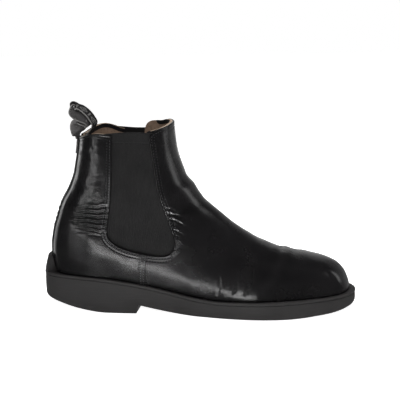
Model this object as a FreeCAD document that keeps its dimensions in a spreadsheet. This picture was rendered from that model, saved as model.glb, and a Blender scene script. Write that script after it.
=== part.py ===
import FreeCAD, Part
import math
import os

# Chelsea boot, right foot.  Lengths in millimetres.
# Frame: +X from heel to toe, +Y to the wearer's left (inner side of a right boot), +Z up.
# The origin is the middle of the outline on the ground.  The shape tables below are
# written with x from the feather point at the back of the heel; XS and YS move them.

os.makedirs("parts", exist_ok=True)
doc = FreeCAD.newDocument("chelsea_boot")

# ------------------------------------------------------------------ dimensions
DIMS = [
    ("heel_breast_x", 92.5, "front face of the heel block from the heel feather point"),
    ("upper_thickness", 1.6, "outer leather"),
    ("gusset_thickness", 1.1, "woven elastic, stiffener sheets"),
    ("lining_thickness", 1.0, "lining leather"),
    ("layer_gap", 0.25, "air between layers"),
    ("welt_thickness", 3.1, "welt strip"),
    ("sole_drop", 3.4, "sole top below the feather line"),
    ("board_thickness", 2.4, "insole board"),
    ("sock_thickness", 1.4, "sock liner"),
    ("cutter_reach", 150.0, "width of the side-view cutting prisms"),
    ("plan_reach", 120.0, "height of the plan-view prisms"),
    ("shank_width", 14.0, "steel shank"),
    ("shank_slot_width", 14.6, "slot for the shank in the filler"),
    ("tread_width", 3.2, "tread groove along the boot"),
    ("tread_length", 58.0, "tread groove across the boot"),
    ("tread_depth", 2.6, "tread groove"),
    ("tread_pitch_run", 108.0, "run of the forepart groove pattern"),
    ("tread_start", 166.0, "first forepart groove"),
    ("heel_tread_length", 44.0, "heel groove across the boot"),
    ("heel_tread_run", 22.0, "run of the heel groove pattern"),
    ("heel_tread_start", 62.0, "first heel groove"),
    ("ribbon_width", 17.0, "pull loop ribbon"),
    ("ribbon_thickness", 1.1, "pull loop ribbon"),
    ("tab_length", 16.0, "sewn end of the ribbon"),
]
sheet = doc.addObject("Spreadsheet::Sheet", "dims")
for i, (name, value, note) in enumerate(DIMS):
    sheet.set("A%d" % (i + 1), name.replace("_", " "))
    sheet.set("B%d" % (i + 1), repr(float(value)))
    sheet.setAlias("B%d" % (i + 1), name)
    sheet.set("C%d" % (i + 1), note)
doc.recompute()
D = dict((n, v) for n, v, _ in DIMS)

XS, YS = -146.75, 1.85          # table coordinates to frame coordinates


# ------------------------------------------------------------------ small maths
def lerp(a, b, t):
    return a + (b - a) * t


def smooth(t):
    t = max(0.0, min(1.0, t))
    return t * t * (3.0 - 2.0 * t)


class Spline:
    """Monotone-friendly cubic through a table (finite difference tangents)."""

    def __init__(self, pts):
        self.x = [float(p[0]) for p in pts]
        self.y = [float(p[1]) for p in pts]
        n = len(pts)
        d = [(self.y[i + 1] - self.y[i]) / (self.x[i + 1] - self.x[i]) for i in range(n - 1)]
        m = [0.0] * n
        m[0], m[-1] = d[0], d[-1]
        for i in range(1, n - 1):
            if d[i - 1] * d[i] <= 0:
                m[i] = 0.0
            else:
                h0, h1 = self.x[i] - self.x[i - 1], self.x[i + 1] - self.x[i]
                w1, w2 = 2 * h1 + h0, h1 + 2 * h0
                m[i] = (w1 + w2) / (w1 / d[i - 1] + w2 / d[i])
        self.m = m

    def __call__(self, t):
        x, y, m = self.x, self.y, self.m
        if t <= x[0]:
            return y[0] + m[0] * (t - x[0])
        if t >= x[-1]:
            return y[-1] + m[-1] * (t - x[-1])
        lo, hi = 0, len(x) - 1
        while hi - lo > 1:
            mid = (lo + hi) // 2
            if x[mid] <= t:
                lo = mid
            else:
                hi = mid
        h = x[hi] - x[lo]
        s = (t - x[lo]) / h
        h00 = (1 + 2 * s) * (1 - s) ** 2
        h10 = s * (1 - s) ** 2
        h01 = s * s * (3 - 2 * s)
        h11 = s * s * (s - 1)
        return h00 * y[lo] + h10 * h * m[lo] + h01 * y[hi] + h11 * h * m[hi]


# ------------------------------------------------------------------ boot shape tables
# feather line: height at which the upper meets the welt
ZF = Spline([(-12, 34.3), (0, 34.6), (28, 35.2), (55, 34.0), (80, 31.0), (104, 26.8), (125, 22.3),
             (154, 17.3), (172, 16.0), (200, 16.2), (240, 17.2), (260, 17.7), (275, 18.6),
             (288, 20.2), (297, 21.6), (310, 23.6)])
# front of the upper at the middle: toe, ridge, instep, shaft front
AX = Spline([(0, 296.3), (.05, 295.3), (.10, 291.8), (.15, 284.5), (.20, 272.5), (.27, 251), (.34, 229),
             (.41, 206.5), (.48, 187.5), (.55, 171.5), (.62, 157.5), (.69, 147.5), (.76, 138.8),
             (.83, 132.2), (.90, 128.2), (.95, 126.4), (1, 125.0)])
AZ = Spline([(0, 21.4), (.05, 27.4), (.10, 35.2), (.15, 42.3), (.20, 47.6), (.27, 52.6), (.34, 57.0),
             (.41, 66.0), (.48, 77.4), (.55, 90.4), (.62, 102.6), (.69, 114.5), (.76, 128),
             (.83, 142.5), (.90, 157), (.95, 170), (1, 187)])
# back of the upper at the middle
BX_Z = Spline([(30, 3.8), (36, 3.0), (45, 1.9), (55, 1.1), (63, 1.4), (71, 2.6), (80, 4.4), (88, 7.0),
               (94, 9.2), (100, 11.2), (108, 14.8), (116, 19.2), (124, 23.2), (132, 26.6), (140, 28.6),
               (150, 30.6), (160, 32.0), (168, 32.8), (186, 33.6)])
BZ = Spline([(0, 35.0), (.05, 41.7), (.10, 48.6), (.15, 55.5), (.20, 62.4), (.27, 72.3), (.34, 82.3),
             (.41, 92.5), (.48, 103), (.55, 113.5), (.62, 124), (.69, 134.5), (.76, 145.5),
             (.83, 157), (.90, 168), (.95, 176), (1, 184)])
# ridge height over x, carried up past the shaft front so the arch term fades behind it
RIDGE = [(AX(v / 60.0), AZ(v / 60.0)) for v in range(61)][::-1] + [(297.5, 16.0)]
ZR = Spline([(60, 900), (100, 420), (114, 262)] + [p for p in RIDGE if p[1] <= 187.1])
XF_Z = Spline([(p[1], p[0]) for p in RIDGE[::-1] if 56.0 < p[1] < 188])
# middle line and half widths of the foot part
YC = Spline([(0, 0), (110, 0), (150, 2), (200, 5), (240, 7), (270, 6.4), (296.5, 5)])
WL = Spline([(0, 35.2), (55, 35.2), (80, 36.2), (104, 36.4), (125, 38.0), (154, 45.0), (172, 50.2),
             (190, 53.8), (208, 55.6)])
WM = Spline([(0, 33.6), (55, 33.6), (80, 32.2), (104, 30.6), (125, 30.8), (154, 34.4), (172, 38.6),
             (190, 41.4), (208, 42.6)])
SHL = Spline([(30, 35.2), (60, 36.6), (90, 36.4), (120, 37.2), (150, 38.6), (186, 39.6)])
SHM = Spline([(30, 33.6), (60, 35.4), (90, 35.6), (120, 36.6), (150, 38.2), (186, 39.2)])


def half_arch(tau, k):
    tau = max(0.0, min(1.0, tau))
    return math.sqrt(max(0.0, 1.0 - tau * tau)) * (1.0 + k * tau * tau)


def half_width(x, z, side):
    """Half width of the upper at side-view point (x, z); side -1 outer, +1 inner."""
    w = (WL if side < 0 else WM)(min(x, 208.0))
    if x > 208.0:
        t = (x - 208.0) / 88.6
        w *= half_arch(t, 0.085 if side < 0 else 0.05)
    zf = ZF(x)
    b = smooth((z - zf - 15.0) / 75.0)
    w = lerp(w, (SHL if side < 0 else SHM)(z), b)
    # the elastic draws the mouth in between the front and the back
    w -= 7.5 * smooth((z - 110.0) / 62.0) * math.exp(-((x - 89.0) / 21.0) ** 2)
    # rounding at the back of the heel and shaft
    rb = lerp(50.0, 37.0, smooth((z - 40.0) / 95.0))
    gb = half_arch(1.0 - (x - BX_Z(z)) / rb, 0.12)
    # rounding over the ridge and round the shaft front
    wv = 1.0 - smooth((z - 75.0) / 60.0)
    tv = (z - zf) / max(1.0, ZR(x) - zf)
    kv = lerp(0.20, 0.26, smooth((x - 200.0) / 60.0))
    gv = half_arch(tv, kv)
    if wv < 1.0:
        th = 1.0 - (XF_Z(z) - x) / lerp(38.0, 31.0, smooth((z - 125.0) / 45.0))
        gh = half_arch(th, 0.14)
    else:
        gh = gv
    return max(0.0, w * gb * (wv * gv + (1.0 - wv) * gh))


def sheet_q(q, v):
    """Side-view point of ring v at fraction q of its length (0 back, 1 front)."""
    bz, ax, az = BZ(v), AX(v), AZ(v)
    bx = BX_Z(bz)
    x = lerp(bx, ax, q)
    z = lerp(bz, az, q)
    if v < 0.25:
        bz0, ax0, az0 = BZ(0), AX(0), AZ(0)
        bx0 = BX_Z(bz0)
        z0 = lerp(bz0, az0, (x - bx0) / (ax0 - bx0))
        z += (ZF(min(max(x, bx0), ax0)) - z0) * (1.0 - v / 0.25) ** 2
    return x, z


def sheet_point(u, v):
    """Side-view point of ring v at fraction u of a turn (0 back, .5 front)."""
    return sheet_q(0.5 * (1.0 - math.cos(2.0 * math.pi * u)), v)


QF, QB = 0.985, 0.02
END_WIDTH = {}


def end_width(q, v, side):
    key = (q, round(v, 7), side)
    if key not in END_WIDTH:
        x, z = sheet_q(q, v)
        END_WIDTH[key] = half_width(x, z, side)
    return END_WIDTH[key]


def master(u, v):
    u = u % 1.0
    q = 0.5 * (1.0 - math.cos(2.0 * math.pi * u))
    x, z = sheet_q(q, v)
    side = -1 if u < 0.5 else 1
    w = half_width(x, z, side)
    if q > 0.95:            # close the ring round the front
        w = lerp(w, end_width(QF, v, side) * math.sqrt(max(0.0, 1.0 - q) / (1.0 - QF)), smooth((q - 0.95) / 0.035))
    elif q < 0.05:          # and round the back
        w = lerp(end_width(QB, v, side) * math.sqrt(max(0.0, q) / QB), w, smooth((q - 0.02) / 0.03))
    return (x, YC(x) + side * w, z)


def surf(u, v, t):
    """Point of the upper at offset t outward of the outer leather face."""
    x, y, z = master(u, v)
    if t != 0.0:
        du, dv = 0.0015, 0.0025
        a, b = master(u - du, v), master(u + du, v)
        v0, v1 = max(0.0, v - dv), min(1.0, v + dv)
        c, d = master(u, v0), master(u, v1)
        eu = [b[i] - a[i] for i in range(3)]
        ev = [d[i] - c[i] for i in range(3)]
        n = [eu[1] * ev[2] - eu[2] * ev[1], eu[2] * ev[0] - eu[0] * ev[2], eu[0] * ev[1] - eu[1] * ev[0]]
        ln = math.sqrt(sum(k * k for k in n)) or 1.0
        x, y, z = x + t * n[0] / ln, y + t * n[1] / ln, z + t * n[2] / ln
    return FreeCAD.Vector(x + XS, y + YS, z)


def ring_for(x, z):
    """(u, v) on the outer side for a side-view point."""
    lo, hi = 0.0, 1.0
    for _ in range(46):
        v = 0.5 * (lo + hi)
        bz, ax = BZ(v), AX(v)
        bx = BX_Z(bz)
        q = max(0.0, min(1.0, (x - bx) / (ax - bx)))
        zz = sheet_point(math.acos(1.0 - 2.0 * q) / (2.0 * math.pi), v)[1]
        if zz < z:
            lo = v
        else:
            hi = v
    return math.acos(1.0 - 2.0 * q) / (2.0 * math.pi), v


# ------------------------------------------------------------------ solids from the upper surface
def skin_solid(uv, nu, nv, t0, t1):
    """Closed solid between offsets t0 < t1 over the patch uv(a, b), a and b in 0..1."""
    faces = []
    surfs = []
    for t in (t0, t1):
        grid = []
        for i in range(nu + 1):
            row = []
            for j in range(nv + 1):
                u, v = uv(i / float(nu), j / float(nv))
                row.append(surf(u, v, t))
            grid.append(row)
        s = Part.BSplineSurface()
        s.interpolate(grid)
        surfs.append(s)
        faces.append(s.toShape())
    for side in ("u0", "u1", "v0", "v1"):
        edges = []
        for s in surfs:
            ua, ub, va, vb = s.bounds()
            if side == "u0":
                c = s.uIso(ua)
            elif side == "u1":
                c = s.uIso(ub)
            elif side == "v0":
                c = s.vIso(va)
            else:
                c = s.vIso(vb)
            edges.append(c.toShape())
        faces.append(Part.makeRuledSurface(edges[0], edges[1]))
    shell = Part.Compound(faces)
    shell.sewShape(0.02)
    shape = shell
    if shape.ShapeType != "Shell":
        shape = shape.Shells[0]
    solid = Part.makeSolid(shape)
    if solid.Volume < 0:
        solid.reverse()
    return solid


def feature(name, shape):
    f = doc.addObject("Part::Feature", name)
    f.Label = name
    f.Shape = shape
    return f


def vspread(b):
    """Put more grid rows near the feather line, where the surface turns fastest."""
    return 0.62 * b * b + 0.38 * b


def band_patch(u0, u1, v0=0.0, v1=1.0):
    def uv(a, b):
        return lerp(u0, u1, a), lerp(v0, v1, vspread(b))
    return uv


# ------------------------------------------------------------------ sketch-based prisms
def v2(x, y):
    return FreeCAD.Vector(x, y, 0)


def wire_geometry(parts):
    """parts: list of point lists; two points give a line, more give a spline.  The last
    point of one list is the first of the next."""
    geo = []
    for pts in parts:
        vs = [v2(*p) for p in pts]
        if len(vs) == 2:
            geo.append(Part.LineSegment(vs[0], vs[1]))
        else:
            c = Part.BSplineCurve()
            c.interpolate(vs)
            geo.append(c)
    return geo


def prism(name, parts, plane="XZ_Plane", length_alias="cutter_reach", midplane=True):
    body = doc.addObject("PartDesign::Body", name)
    sk = body.newObject("Sketcher::SketchObject", name + "_sketch")
    base = [f for f in body.Origin.OriginFeatures if getattr(f, "Role", "") == plane][0]
    sk.AttachmentSupport = [(base, "")]
    sk.MapMode = "FlatFace"
    sk.addGeometry(wire_geometry(parts), False)
    pad = body.newObject("PartDesign::Pad", name + "_pad")
    pad.Profile = sk
    pad.setExpression("Length", "dims.%s" % length_alias)
    pad.Midplane = midplane
    body.Tip = pad
    return body


def shift(pts, dx=XS, dy=0.0):
    return [(p[0] + dx, p[1] + dy) for p in pts]


def side_prism(name, parts):
    return prism(name, [shift(p) for p in parts])


# side-view lines (table x, z)
SEAM = [(97.4, 8.0), (97.6, 30.0), (98.2, 44.0), (99.4, 58.6)]
G_REAR = [(99.4, 58.6), (89.5, 60.6), (81.0, 63.0), (71.8, 67.2), (66.2, 71.8), (63.6, 78.0), (64.8, 90.0),
          (66.6, 101.0), (68.4, 113.0), (69.8, 131.0), (70.8, 150.0), (71.8, 173.2)]
G_FRONT = [(99.4, 58.6), (107.0, 57.2), (115.0, 56.6), (123.0, 58.2), (127.7, 63.4), (129.0, 70.4),
           (126.2, 81.6), (119.3, 101.6)]
G_FRONT_UP = [(119.3, 101.6), (114.9, 117.0), (112.2, 131.0), (109.8, 146.0), (107.8, 160.0), (106.8, 167.0)]
CORNER = [(106.8, 167.0), (106.9, 171.6), (108.4, 175.6), (112.2, 178.6), (118.0, 181.0), (127.0, 183.4)]
TOP_BACK = [(71.8, 173.2), (65.0, 174.2), (57.0, 174.8), (48.0, 173.6), (40.0, 171.4), (33.0, 169.6), (22.0, 168.6)]
HINGE = [(119.3, 101.6), (128.0, 103.0), (138.0, 105.4), (154.0, 109.0), (172.0, 113.4)]
GAP = 0.36


def up(pts, d):
    return [(p[0], p[1] + d) for p in pts]


quarter_cut = side_prism("quarter_outline", [
    [(-30, 8), (97.2, 8)], [(97.2, 8)] + [(p[0] - 0.2, p[1]) for p in SEAM[1:-1]] + [(99.2, 58.6)],
    [(99.2, 58.6)] + G_REAR[1:], TOP_BACK, [(22, 168.6), (-30, 168.6)], [(-30, 168.6), (-30, 8)]])
vamp_cut = side_prism("vamp_outline", [
    [(97.6, 8)] + [(p[0] + 0.2, p[1]) for p in SEAM[1:-1]] + [(99.6, 58.6)],
    [(99.6, 58.6)] + G_FRONT[1:], HINGE, [(172, 113.4), (330, 113.4)], [(330, 113.4), (330, 8)], [(330, 8), (97.6, 8)]])
hinge_up = up(HINGE, GAP)
vshaft_cut = side_prism("vamp_shaft_outline", [
    hinge_up, [hinge_up[-1], (172, 200)], [(172, 200), (127, 200)], [(127, 200), (127, 183.4)],
    CORNER[::-1], G_FRONT_UP[::-1][:-1] + [hinge_up[0]]])
gusset_cut = side_prism("gusset_outline", [
    [(63.4, 173.8), (62.2, 150.0), (60.2, 113.0), (57.2, 92.0), (54.8, 78.0), (56.8, 67.6), (64.0, 60.0),
     (77.0, 54.6), (96.0, 50.4), (115.0, 48.4), (128.0, 50.0), (136.0, 58.0), (137.6, 70.0), (134.0, 84.0),
     (127.0, 103.5), (121.8, 122.0), (118.4, 142.0), (115.6, 160.0), (114.6, 173.8)],
    [(114.6, 173.8), (63.4, 173.8)]])

T0 = -D["upper_thickness"]
G1 = T0 - D["layer_gap"]
G0 = G1 - D["gusset_thickness"]
L1 = G0 - D["layer_gap"]
L0 = L1 - D["lining_thickness"]


def cut_panel(name, u0, u1, v0, v1, nu, nv, t0, t1, outline, least):
    """Leather panel: a skin patch kept inside a side-view outline.  The patch is widened and
    its grid refined a little until the cut is one valid solid of at least the given volume."""
    for k in range(14):
        e = 0.0017 * k
        a = u0 if u0 < 0.005 else u0 - e
        b = u1 if u1 > 0.995 else u1 + e
        c0 = v0 if v0 == 0.0 else v0 - e
        c1 = v1 - 0.0021 * (k % 5)
        solid = skin_solid(band_patch(a, b, c0, c1), nu + (k % 7), nv + (k % 4), t0, t1)
        if not solid.isValid():
            continue
        got = solid.common(outline.Shape)
        if got.isValid() and len(got.Solids) == 1 and least < got.Volume < 1.22 * least:
            break
    else:
        raise RuntimeError("no clean cut for " + name)
    blank = feature(name + "_blank", solid)
    c = doc.addObject("Part::MultiCommon", name)
    c.Label = name
    c.Shapes = [blank, outline]
    return c


doc.recompute()
NODES = []


def node(obj):
    NODES.append(obj)
    return obj


for tag, ua, ub in (("lateral", 0.0015, 0.30), ("medial", 0.70, 0.9985)):
    node(cut_panel("quarter_" + tag, ua, ub, 0.0, 1.0, 30, 28, T0, 0.0, quarter_cut, 16000))
    node(cut_panel("quarter_lining_" + tag, ua, ub, 0.0, 1.0, 30, 28, L0, L1, quarter_cut, 9300))
node(cut_panel("vamp", 0.17, 0.83, 0.0, 0.80, 60, 28, T0, 0.0, vamp_cut, 43000))
node(cut_panel("vamp_lining", 0.17, 0.83, 0.0, 0.80, 60, 28, L0, L1, vamp_cut, 25300))
node(cut_panel("vamp_shaft", 0.27, 0.73, 0.5, 1.0, 50, 26, T0, 0.0, vshaft_cut, 10200))
node(cut_panel("vamp_shaft_lining", 0.262, 0.738, 0.47, 0.995, 52, 28, L0, L1, vshaft_cut, 5800))
node(cut_panel("gusset_lateral", 0.10, 0.40, 0.10, 1.0, 36, 34, G0, G1, gusset_cut, 5600))
node(cut_panel("gusset_medial", 0.60, 0.90, 0.10, 1.0, 36, 34, G0, G1, gusset_cut, 5600))

node(feature("heel_counter", skin_solid(band_patch(-0.125, 0.125, 0.01, 0.27), 40, 16, G0 + 0.12, G1 - 0.12)))
node(feature("toe_puff", skin_solid(band_patch(0.385, 0.615, 0.01, 0.2), 40, 16, G0 + 0.15, G1 - 0.15)))


def u_for_half(v, w, side):
    lo, hi = 0.0, 0.2
    for _ in range(40):
        mid = 0.5 * (lo + hi)
        u = mid if side < 0 else 1.0 - mid
        if abs(master(u, v)[1]) < w:
            lo = mid
        else:
            hi = mid
    return lo


STRAP = Spline([(0.0, 6.0), (0.12, 6.2), (0.35, 8.2), (0.6, 11.0), (0.8, 13.4), (0.93, 14.0)])


def strap_uv(a, b):
    v = lerp(0.002, 0.895, vspread(b))
    w = STRAP(v)
    ul, um = u_for_half(v, w, -1), u_for_half(v, w, 1)
    return lerp(-um, ul, a), v


node(feature("backstay", skin_solid(strap_uv, 16, 30, 0.25, 1.4)))


def strip_uv(sign):
    left = [(93.8, 29.2), (94.2, 44.0), (95.0, 57.8)]
    right = [(99.6, 28.2), (100.4, 44.0), (102.0, 57.0)]
    rows = []
    for k in range(9):
        t = k / 8.0
        pts = []
        for line in (left, right):
            lx = Spline([(p[1], p[0]) for p in line])
            z = lerp(line[0][1], line[-1][1], t)
            pts.append(ring_for(lx(z), z))
        rows.append(pts)

    def uv(a, b):
        k = b * 8.0
        i = min(7, int(k))
        f = k - i
        pl = [lerp(rows[i][0][m], rows[i + 1][0][m], f) for m in (0, 1)]
        pr = [lerp(rows[i][1][m], rows[i + 1][1][m], f) for m in (0, 1)]
        u, v = lerp(pl[0], pr[0], a), lerp(pl[1], pr[1], a)
        return (u if sign < 0 else 1.0 - u), v
    return uv


node(feature("seam_strip_lateral", skin_solid(strip_uv(-1), 4, 8, 0.22, 1.15)))
node(feature("seam_strip_medial", skin_solid(strip_uv(1), 4, 8, 0.22, 1.15)))


# ------------------------------------------------------------------ bottom unit
SOLE_L = [(-8.0, 0.0), (-6.4, -9.0), (-1.0, -19.0), (6.0, -25.0), (16.0, -30.4), (30.0, -35.6), (50.0, -39.0),
          (75.0, -40.4), (100.0, -40.4), (125.0, -41.6), (150.0, -46.2), (175.0, -51.6), (200.0, -54.6),
          (220.0, -54.2), (240.0, -50.6), (260.0, -43.8), (277.0, -34.6), (290.0, -23.6), (298.5, -11.0),
          (301.5, 4.0)]
SOLE_M = [(299.0, 15.5), (291.5, 26.5), (279.5, 36.2), (262.0, 44.4), (241.0, 49.4), (220.0, 51.0), (199.0, 49.8),
          (175.0, 45.2), (150.0, 38.8), (125.0, 34.6), (100.0, 34.4), (75.0, 36.8), (50.0, 37.4), (30.0, 34.6),
          (16.0, 29.6), (6.0, 24.6), (-1.0, 18.8), (-6.4, 9.0)]
OUTLINE = [(p[0], p[1]) for p in SOLE_L + SOLE_M]


def feather_outline(n=72):
    pts = []
    for i in range(n):
        x, y, z = master(i / float(n), 0.0)
        pts.append((x, y))
    return pts


def inset(pts, d):
    """Closed outline moved d inward (positive) along its own normals."""
    n = len(pts)
    out = []
    for i in range(n):
        a, b = pts[i - 1], pts[(i + 1) % n]
        tx, ty = b[0] - a[0], b[1] - a[1]
        ln = math.hypot(tx, ty) or 1.0
        out.append((pts[i][0] - ty / ln * d, pts[i][1] + tx / ln * d))
    return out


def closed_spline(pts):
    c = Part.BSplineCurve()
    c.interpolate([v2(p[0] + XS, p[1] + YS) for p in pts], PeriodicFlag=True)
    return c


def plan_prism(name, pts):
    body = doc.addObject("PartDesign::Body", name)
    sk = body.newObject("Sketcher::SketchObject", name + "_sketch")
    base = [f for f in body.Origin.OriginFeatures if getattr(f, "Role", "") == "XY_Plane"][0]
    sk.AttachmentSupport = [(base, "")]
    sk.MapMode = "FlatFace"
    sk.addGeometry([closed_spline(pts)], False)
    pad = body.newObject("PartDesign::Pad", name + "_pad")
    pad.Profile = sk
    pad.setExpression("Length", "dims.plan_reach")
    pad.Midplane = True
    body.Tip = pad
    return body


def zf_curve(x0, x1, d, n=22):
    return [(lerp(x0, x1, i / float(n)), ZF(lerp(x0, x1, i / float(n))) + d) for i in range(n + 1)]


FEATHER = feather_outline()
sole_plan = plan_prism("sole_plan", OUTLINE)
welt_outer = plan_prism("welt_outer", inset(OUTLINE, 0.9))
welt_inner = plan_prism("welt_inner", inset(FEATHER, 8.6))
board_plan = plan_prism("board_plan", inset(FEATHER, 5.1))
filler_plan = plan_prism("filler_plan", inset(FEATHER, 9.2))
sock_plan = plan_prism("sock_plan", inset(FEATHER, 5.7))
spur_inner = plan_prism("spur_inner", [(p[0] - 2.2, p[1]) for p in inset(FEATHER, -2.3)])

sd = -D["sole_drop"]
hb = D["heel_breast_x"]
ROCKER = [(hb - 2.0, 0.0), (62.0, 0.0)]
HEEL_BACK = [(62.0, 0.0), (54.0, 0.35), (46.0, 1.2), (38.0, 2.3), (28.0, 3.9), (15.0, 6.3), (0.0, 9.4), (-14.0, 12.8)]
WAIST = [(hb + 1.2, 8.2), (103.0, 6.2), (115.0, 3.8), (127.0, 1.9), (140.0, 0.6), (152.0, 0.0)]
TOE = [(236.0, 0.0), (250.0, 0.45), (262.0, 1.2), (275.0, 2.6), (288.0, 5.2), (297.0, 8.2), (308.0, 12.6)]
top_line = zf_curve(-14.0, 308.0, sd)
sole_side = side_prism("sole_side", [
    top_line, [top_line[-1], TOE[-1]], TOE[::-1], [(236.0, 0.0), (152.0, 0.0)], WAIST[::-1],
    [WAIST[0], ROCKER[0]], ROCKER, HEEL_BACK, [HEEL_BACK[-1], top_line[0]]])
spur_side = side_prism("spur_side", [
    [(-14.0, 26.0), (1.2, 26.0)], [(1.2, 26.0), (1.2, 35.6)],
    [(1.2, 35.6), (-0.4, 42.0), (-2.0, 48.4), (-4.4, 51.0), (-7.0, 50.2), (-14.0, 46.0)], [(-14.0, 46.0), (-14.0, 26.0)]])


def op(kind, name, *shapes):
    o = doc.addObject(kind, name)
    o.Label = name
    if kind in ("Part::MultiCommon", "Part::MultiFuse"):
        o.Shapes = list(shapes)
    else:
        o.Base, o.Tool = shapes
    return o


sole_block = op("Part::MultiCommon", "sole_block", sole_plan, sole_side)
spur_ring = op("Part::Cut", "spur_ring", sole_plan, spur_inner)
spur = op("Part::MultiCommon", "heel_spur", spur_ring, spur_side)
sole_blank = op("Part::MultiFuse", "sole_blank", sole_block, spur)


def tread(name, start_alias, length_alias, run_alias, count):
    body = doc.addObject("PartDesign::Body", name)
    sk = body.newObject("Sketcher::SketchObject", name + "_sketch")
    base = [f for f in body.Origin.OriginFeatures if getattr(f, "Role", "") == "XY_Plane"][0]
    sk.AttachmentSupport = [(base, "")]
    sk.MapMode = "FlatFace"
    x0 = D[start_alias] + XS
    hy = D[length_alias] / 2.0
    w = D["tread_width"]
    ids = sk.addGeometry([
        Part.LineSegment(v2(x0, -hy), v2(x0 + w, -hy)), Part.LineSegment(v2(x0 + w, -hy), v2(x0 + w, hy)),
        Part.LineSegment(v2(x0 + w, hy), v2(x0, hy)), Part.LineSegment(v2(x0, hy), v2(x0, -hy))], False)
    import Sketcher
    for a, b in ((0, 1), (1, 2), (2, 3), (3, 0)):
        sk.addConstraint(Sketcher.Constraint("Coincident", ids[a], 2, ids[b], 1))
    for k in (0, 2):
        sk.addConstraint(Sketcher.Constraint("Horizontal", ids[k]))
    for k in (1, 3):
        sk.addConstraint(Sketcher.Constraint("Vertical", ids[k]))
    c = sk.addConstraint(Sketcher.Constraint("DistanceX", ids[0], 1, ids[0], 2, w))
    sk.setExpression("Constraints[%d]" % c, "dims.tread_width")
    c = sk.addConstraint(Sketcher.Constraint("DistanceY", ids[1], 1, ids[1], 2, 2 * hy))
    sk.setExpression("Constraints[%d]" % c, "dims.%s" % length_alias)
    c = sk.addConstraint(Sketcher.Constraint("DistanceX", -1, 1, ids[0], 1, x0))
    sk.setExpression("Constraints[%d]" % c, "dims.%s - %s" % (start_alias, repr(-XS)))
    c = sk.addConstraint(Sketcher.Constraint("DistanceY", ids[0], 1, -1, 1, hy))
    sk.setExpression("Constraints[%d]" % c, "dims.%s / 2" % length_alias)
    pad = body.newObject("PartDesign::Pad", name + "_pad")
    pad.Profile = sk
    pad.setExpression("Length", "dims.tread_depth * 2")
    pad.Midplane = True
    body.Tip = pad
    doc.recompute()
    pat = body.newObject("PartDesign::LinearPattern", name + "_pattern")
    pat.Originals = [pad]
    pat.Direction = (sk, ["H_Axis"])
    pat.setExpression("Length", "dims.%s" % run_alias)
    pat.Occurrences = count
    body.Tip = pat
    doc.recompute()
    return body


tread_fore = tread("tread_forepart", "tread_start", "tread_length", "tread_pitch_run", 13)
tread_heel = tread("tread_heel", "heel_tread_start", "heel_tread_length", "heel_tread_run", 4)
sole_cut1 = op("Part::Cut", "sole_with_forepart_tread", sole_blank, tread_fore)
node(op("Part::Cut", "outsole", sole_cut1, tread_heel))

wt = D["welt_thickness"]
welt_top = zf_curve(1.6, 308.0, -0.12)
welt_low = zf_curve(1.6, 308.0, sd + 0.12)
welt_side = side_prism("welt_side", [welt_low, [welt_low[-1], welt_top[-1]], welt_top[::-1], [welt_top[0], welt_low[0]]])
welt_ring = op("Part::Cut", "welt_ring", welt_outer, welt_inner)
node(op("Part::MultiCommon", "welt", welt_ring, welt_side))

fill_top = zf_curve(-14.0, 308.0, -0.12)
fill_low = zf_curve(-14.0, 308.0, sd + 0.12)
fill_side = side_prism("filler_side", [fill_low, [fill_low[-1], fill_top[-1]], fill_top[::-1], [fill_top[0], fill_low[0]]])
fill_blank = op("Part::MultiCommon", "filler_blank", filler_plan, fill_side)


def strip_prism(name, x0, x1, d0, d1, alias):
    a, b = zf_curve(x0, x1, d0, 10), zf_curve(x0, x1, d1, 10)
    return prism(name, [shift(q) for q in (a, [a[-1], b[-1]], b[::-1], [b[0], a[0]])], "XZ_Plane", alias)


shank = strip_prism("shank", 46.0, 164.0, -1.95, -0.35, "shank_width")
shank.Label = "shank"
slot = strip_prism("shank_slot", 45.6, 164.4, -2.1, 0.6, "shank_slot_width")
node(op("Part::Cut", "filler", fill_blank, slot))
node(shank)

b0, b1 = 0.12, 0.12 + D["board_thickness"]
bt, bl = zf_curve(-14.0, 308.0, b1), zf_curve(-14.0, 308.0, b0)
board_side = side_prism("board_side", [bl, [bl[-1], bt[-1]], bt[::-1], [bt[0], bl[0]]])
node(op("Part::MultiCommon", "insole_board", board_plan, board_side))
s0, s1 = b1 + 0.12, b1 + 0.12 + D["sock_thickness"]
st, sl = zf_curve(-14.0, 308.0, s1), zf_curve(-14.0, 308.0, s0)
sock_side = side_prism("sock_side", [sl, [sl[-1], st[-1]], st[::-1], [st[0], sl[0]]])
node(op("Part::MultiCommon", "sock_liner", sock_plan, sock_side))


# ------------------------------------------------------------------ pull loop
def ribbon_outline(path, t):
    """Closed side-view outline of a ribbon of thickness t along a path."""
    n = len(path)
    left, right = [], []
    for i in range(n):
        a, b = path[max(0, i - 1)], path[min(n - 1, i + 1)]
        tx, tz = b[0] - a[0], b[1] - a[1]
        ln = math.hypot(tx, tz)
        left.append((path[i][0] - tz / ln * t / 2, path[i][1] + tx / ln * t / 2))
        right.append((path[i][0] + tz / ln * t / 2, path[i][1] - tx / ln * t / 2))
    return [left, [left[-1], right[-1]], right[::-1], [right[0], left[0]]]


def catmull(pts, n):
    out = []
    m = len(pts)
    for i in range(m - 1):
        p0, p1, p2, p3 = pts[max(0, i - 1)], pts[i], pts[i + 1], pts[min(m - 1, i + 2)]
        for k in range(n):
            t = k / float(n)
            out.append(tuple(0.5 * ((2 * p1[j]) + (-p0[j] + p2[j]) * t + (2 * p0[j] - 5 * p1[j] + 4 * p2[j] - p3[j]) * t * t
                                    + (-p0[j] + 3 * p1[j] - 3 * p2[j] + p3[j]) * t ** 3) for j in (0, 1)))
    out.append(tuple(pts[-1]))
    return out


rt = D["ribbon_thickness"]
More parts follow.
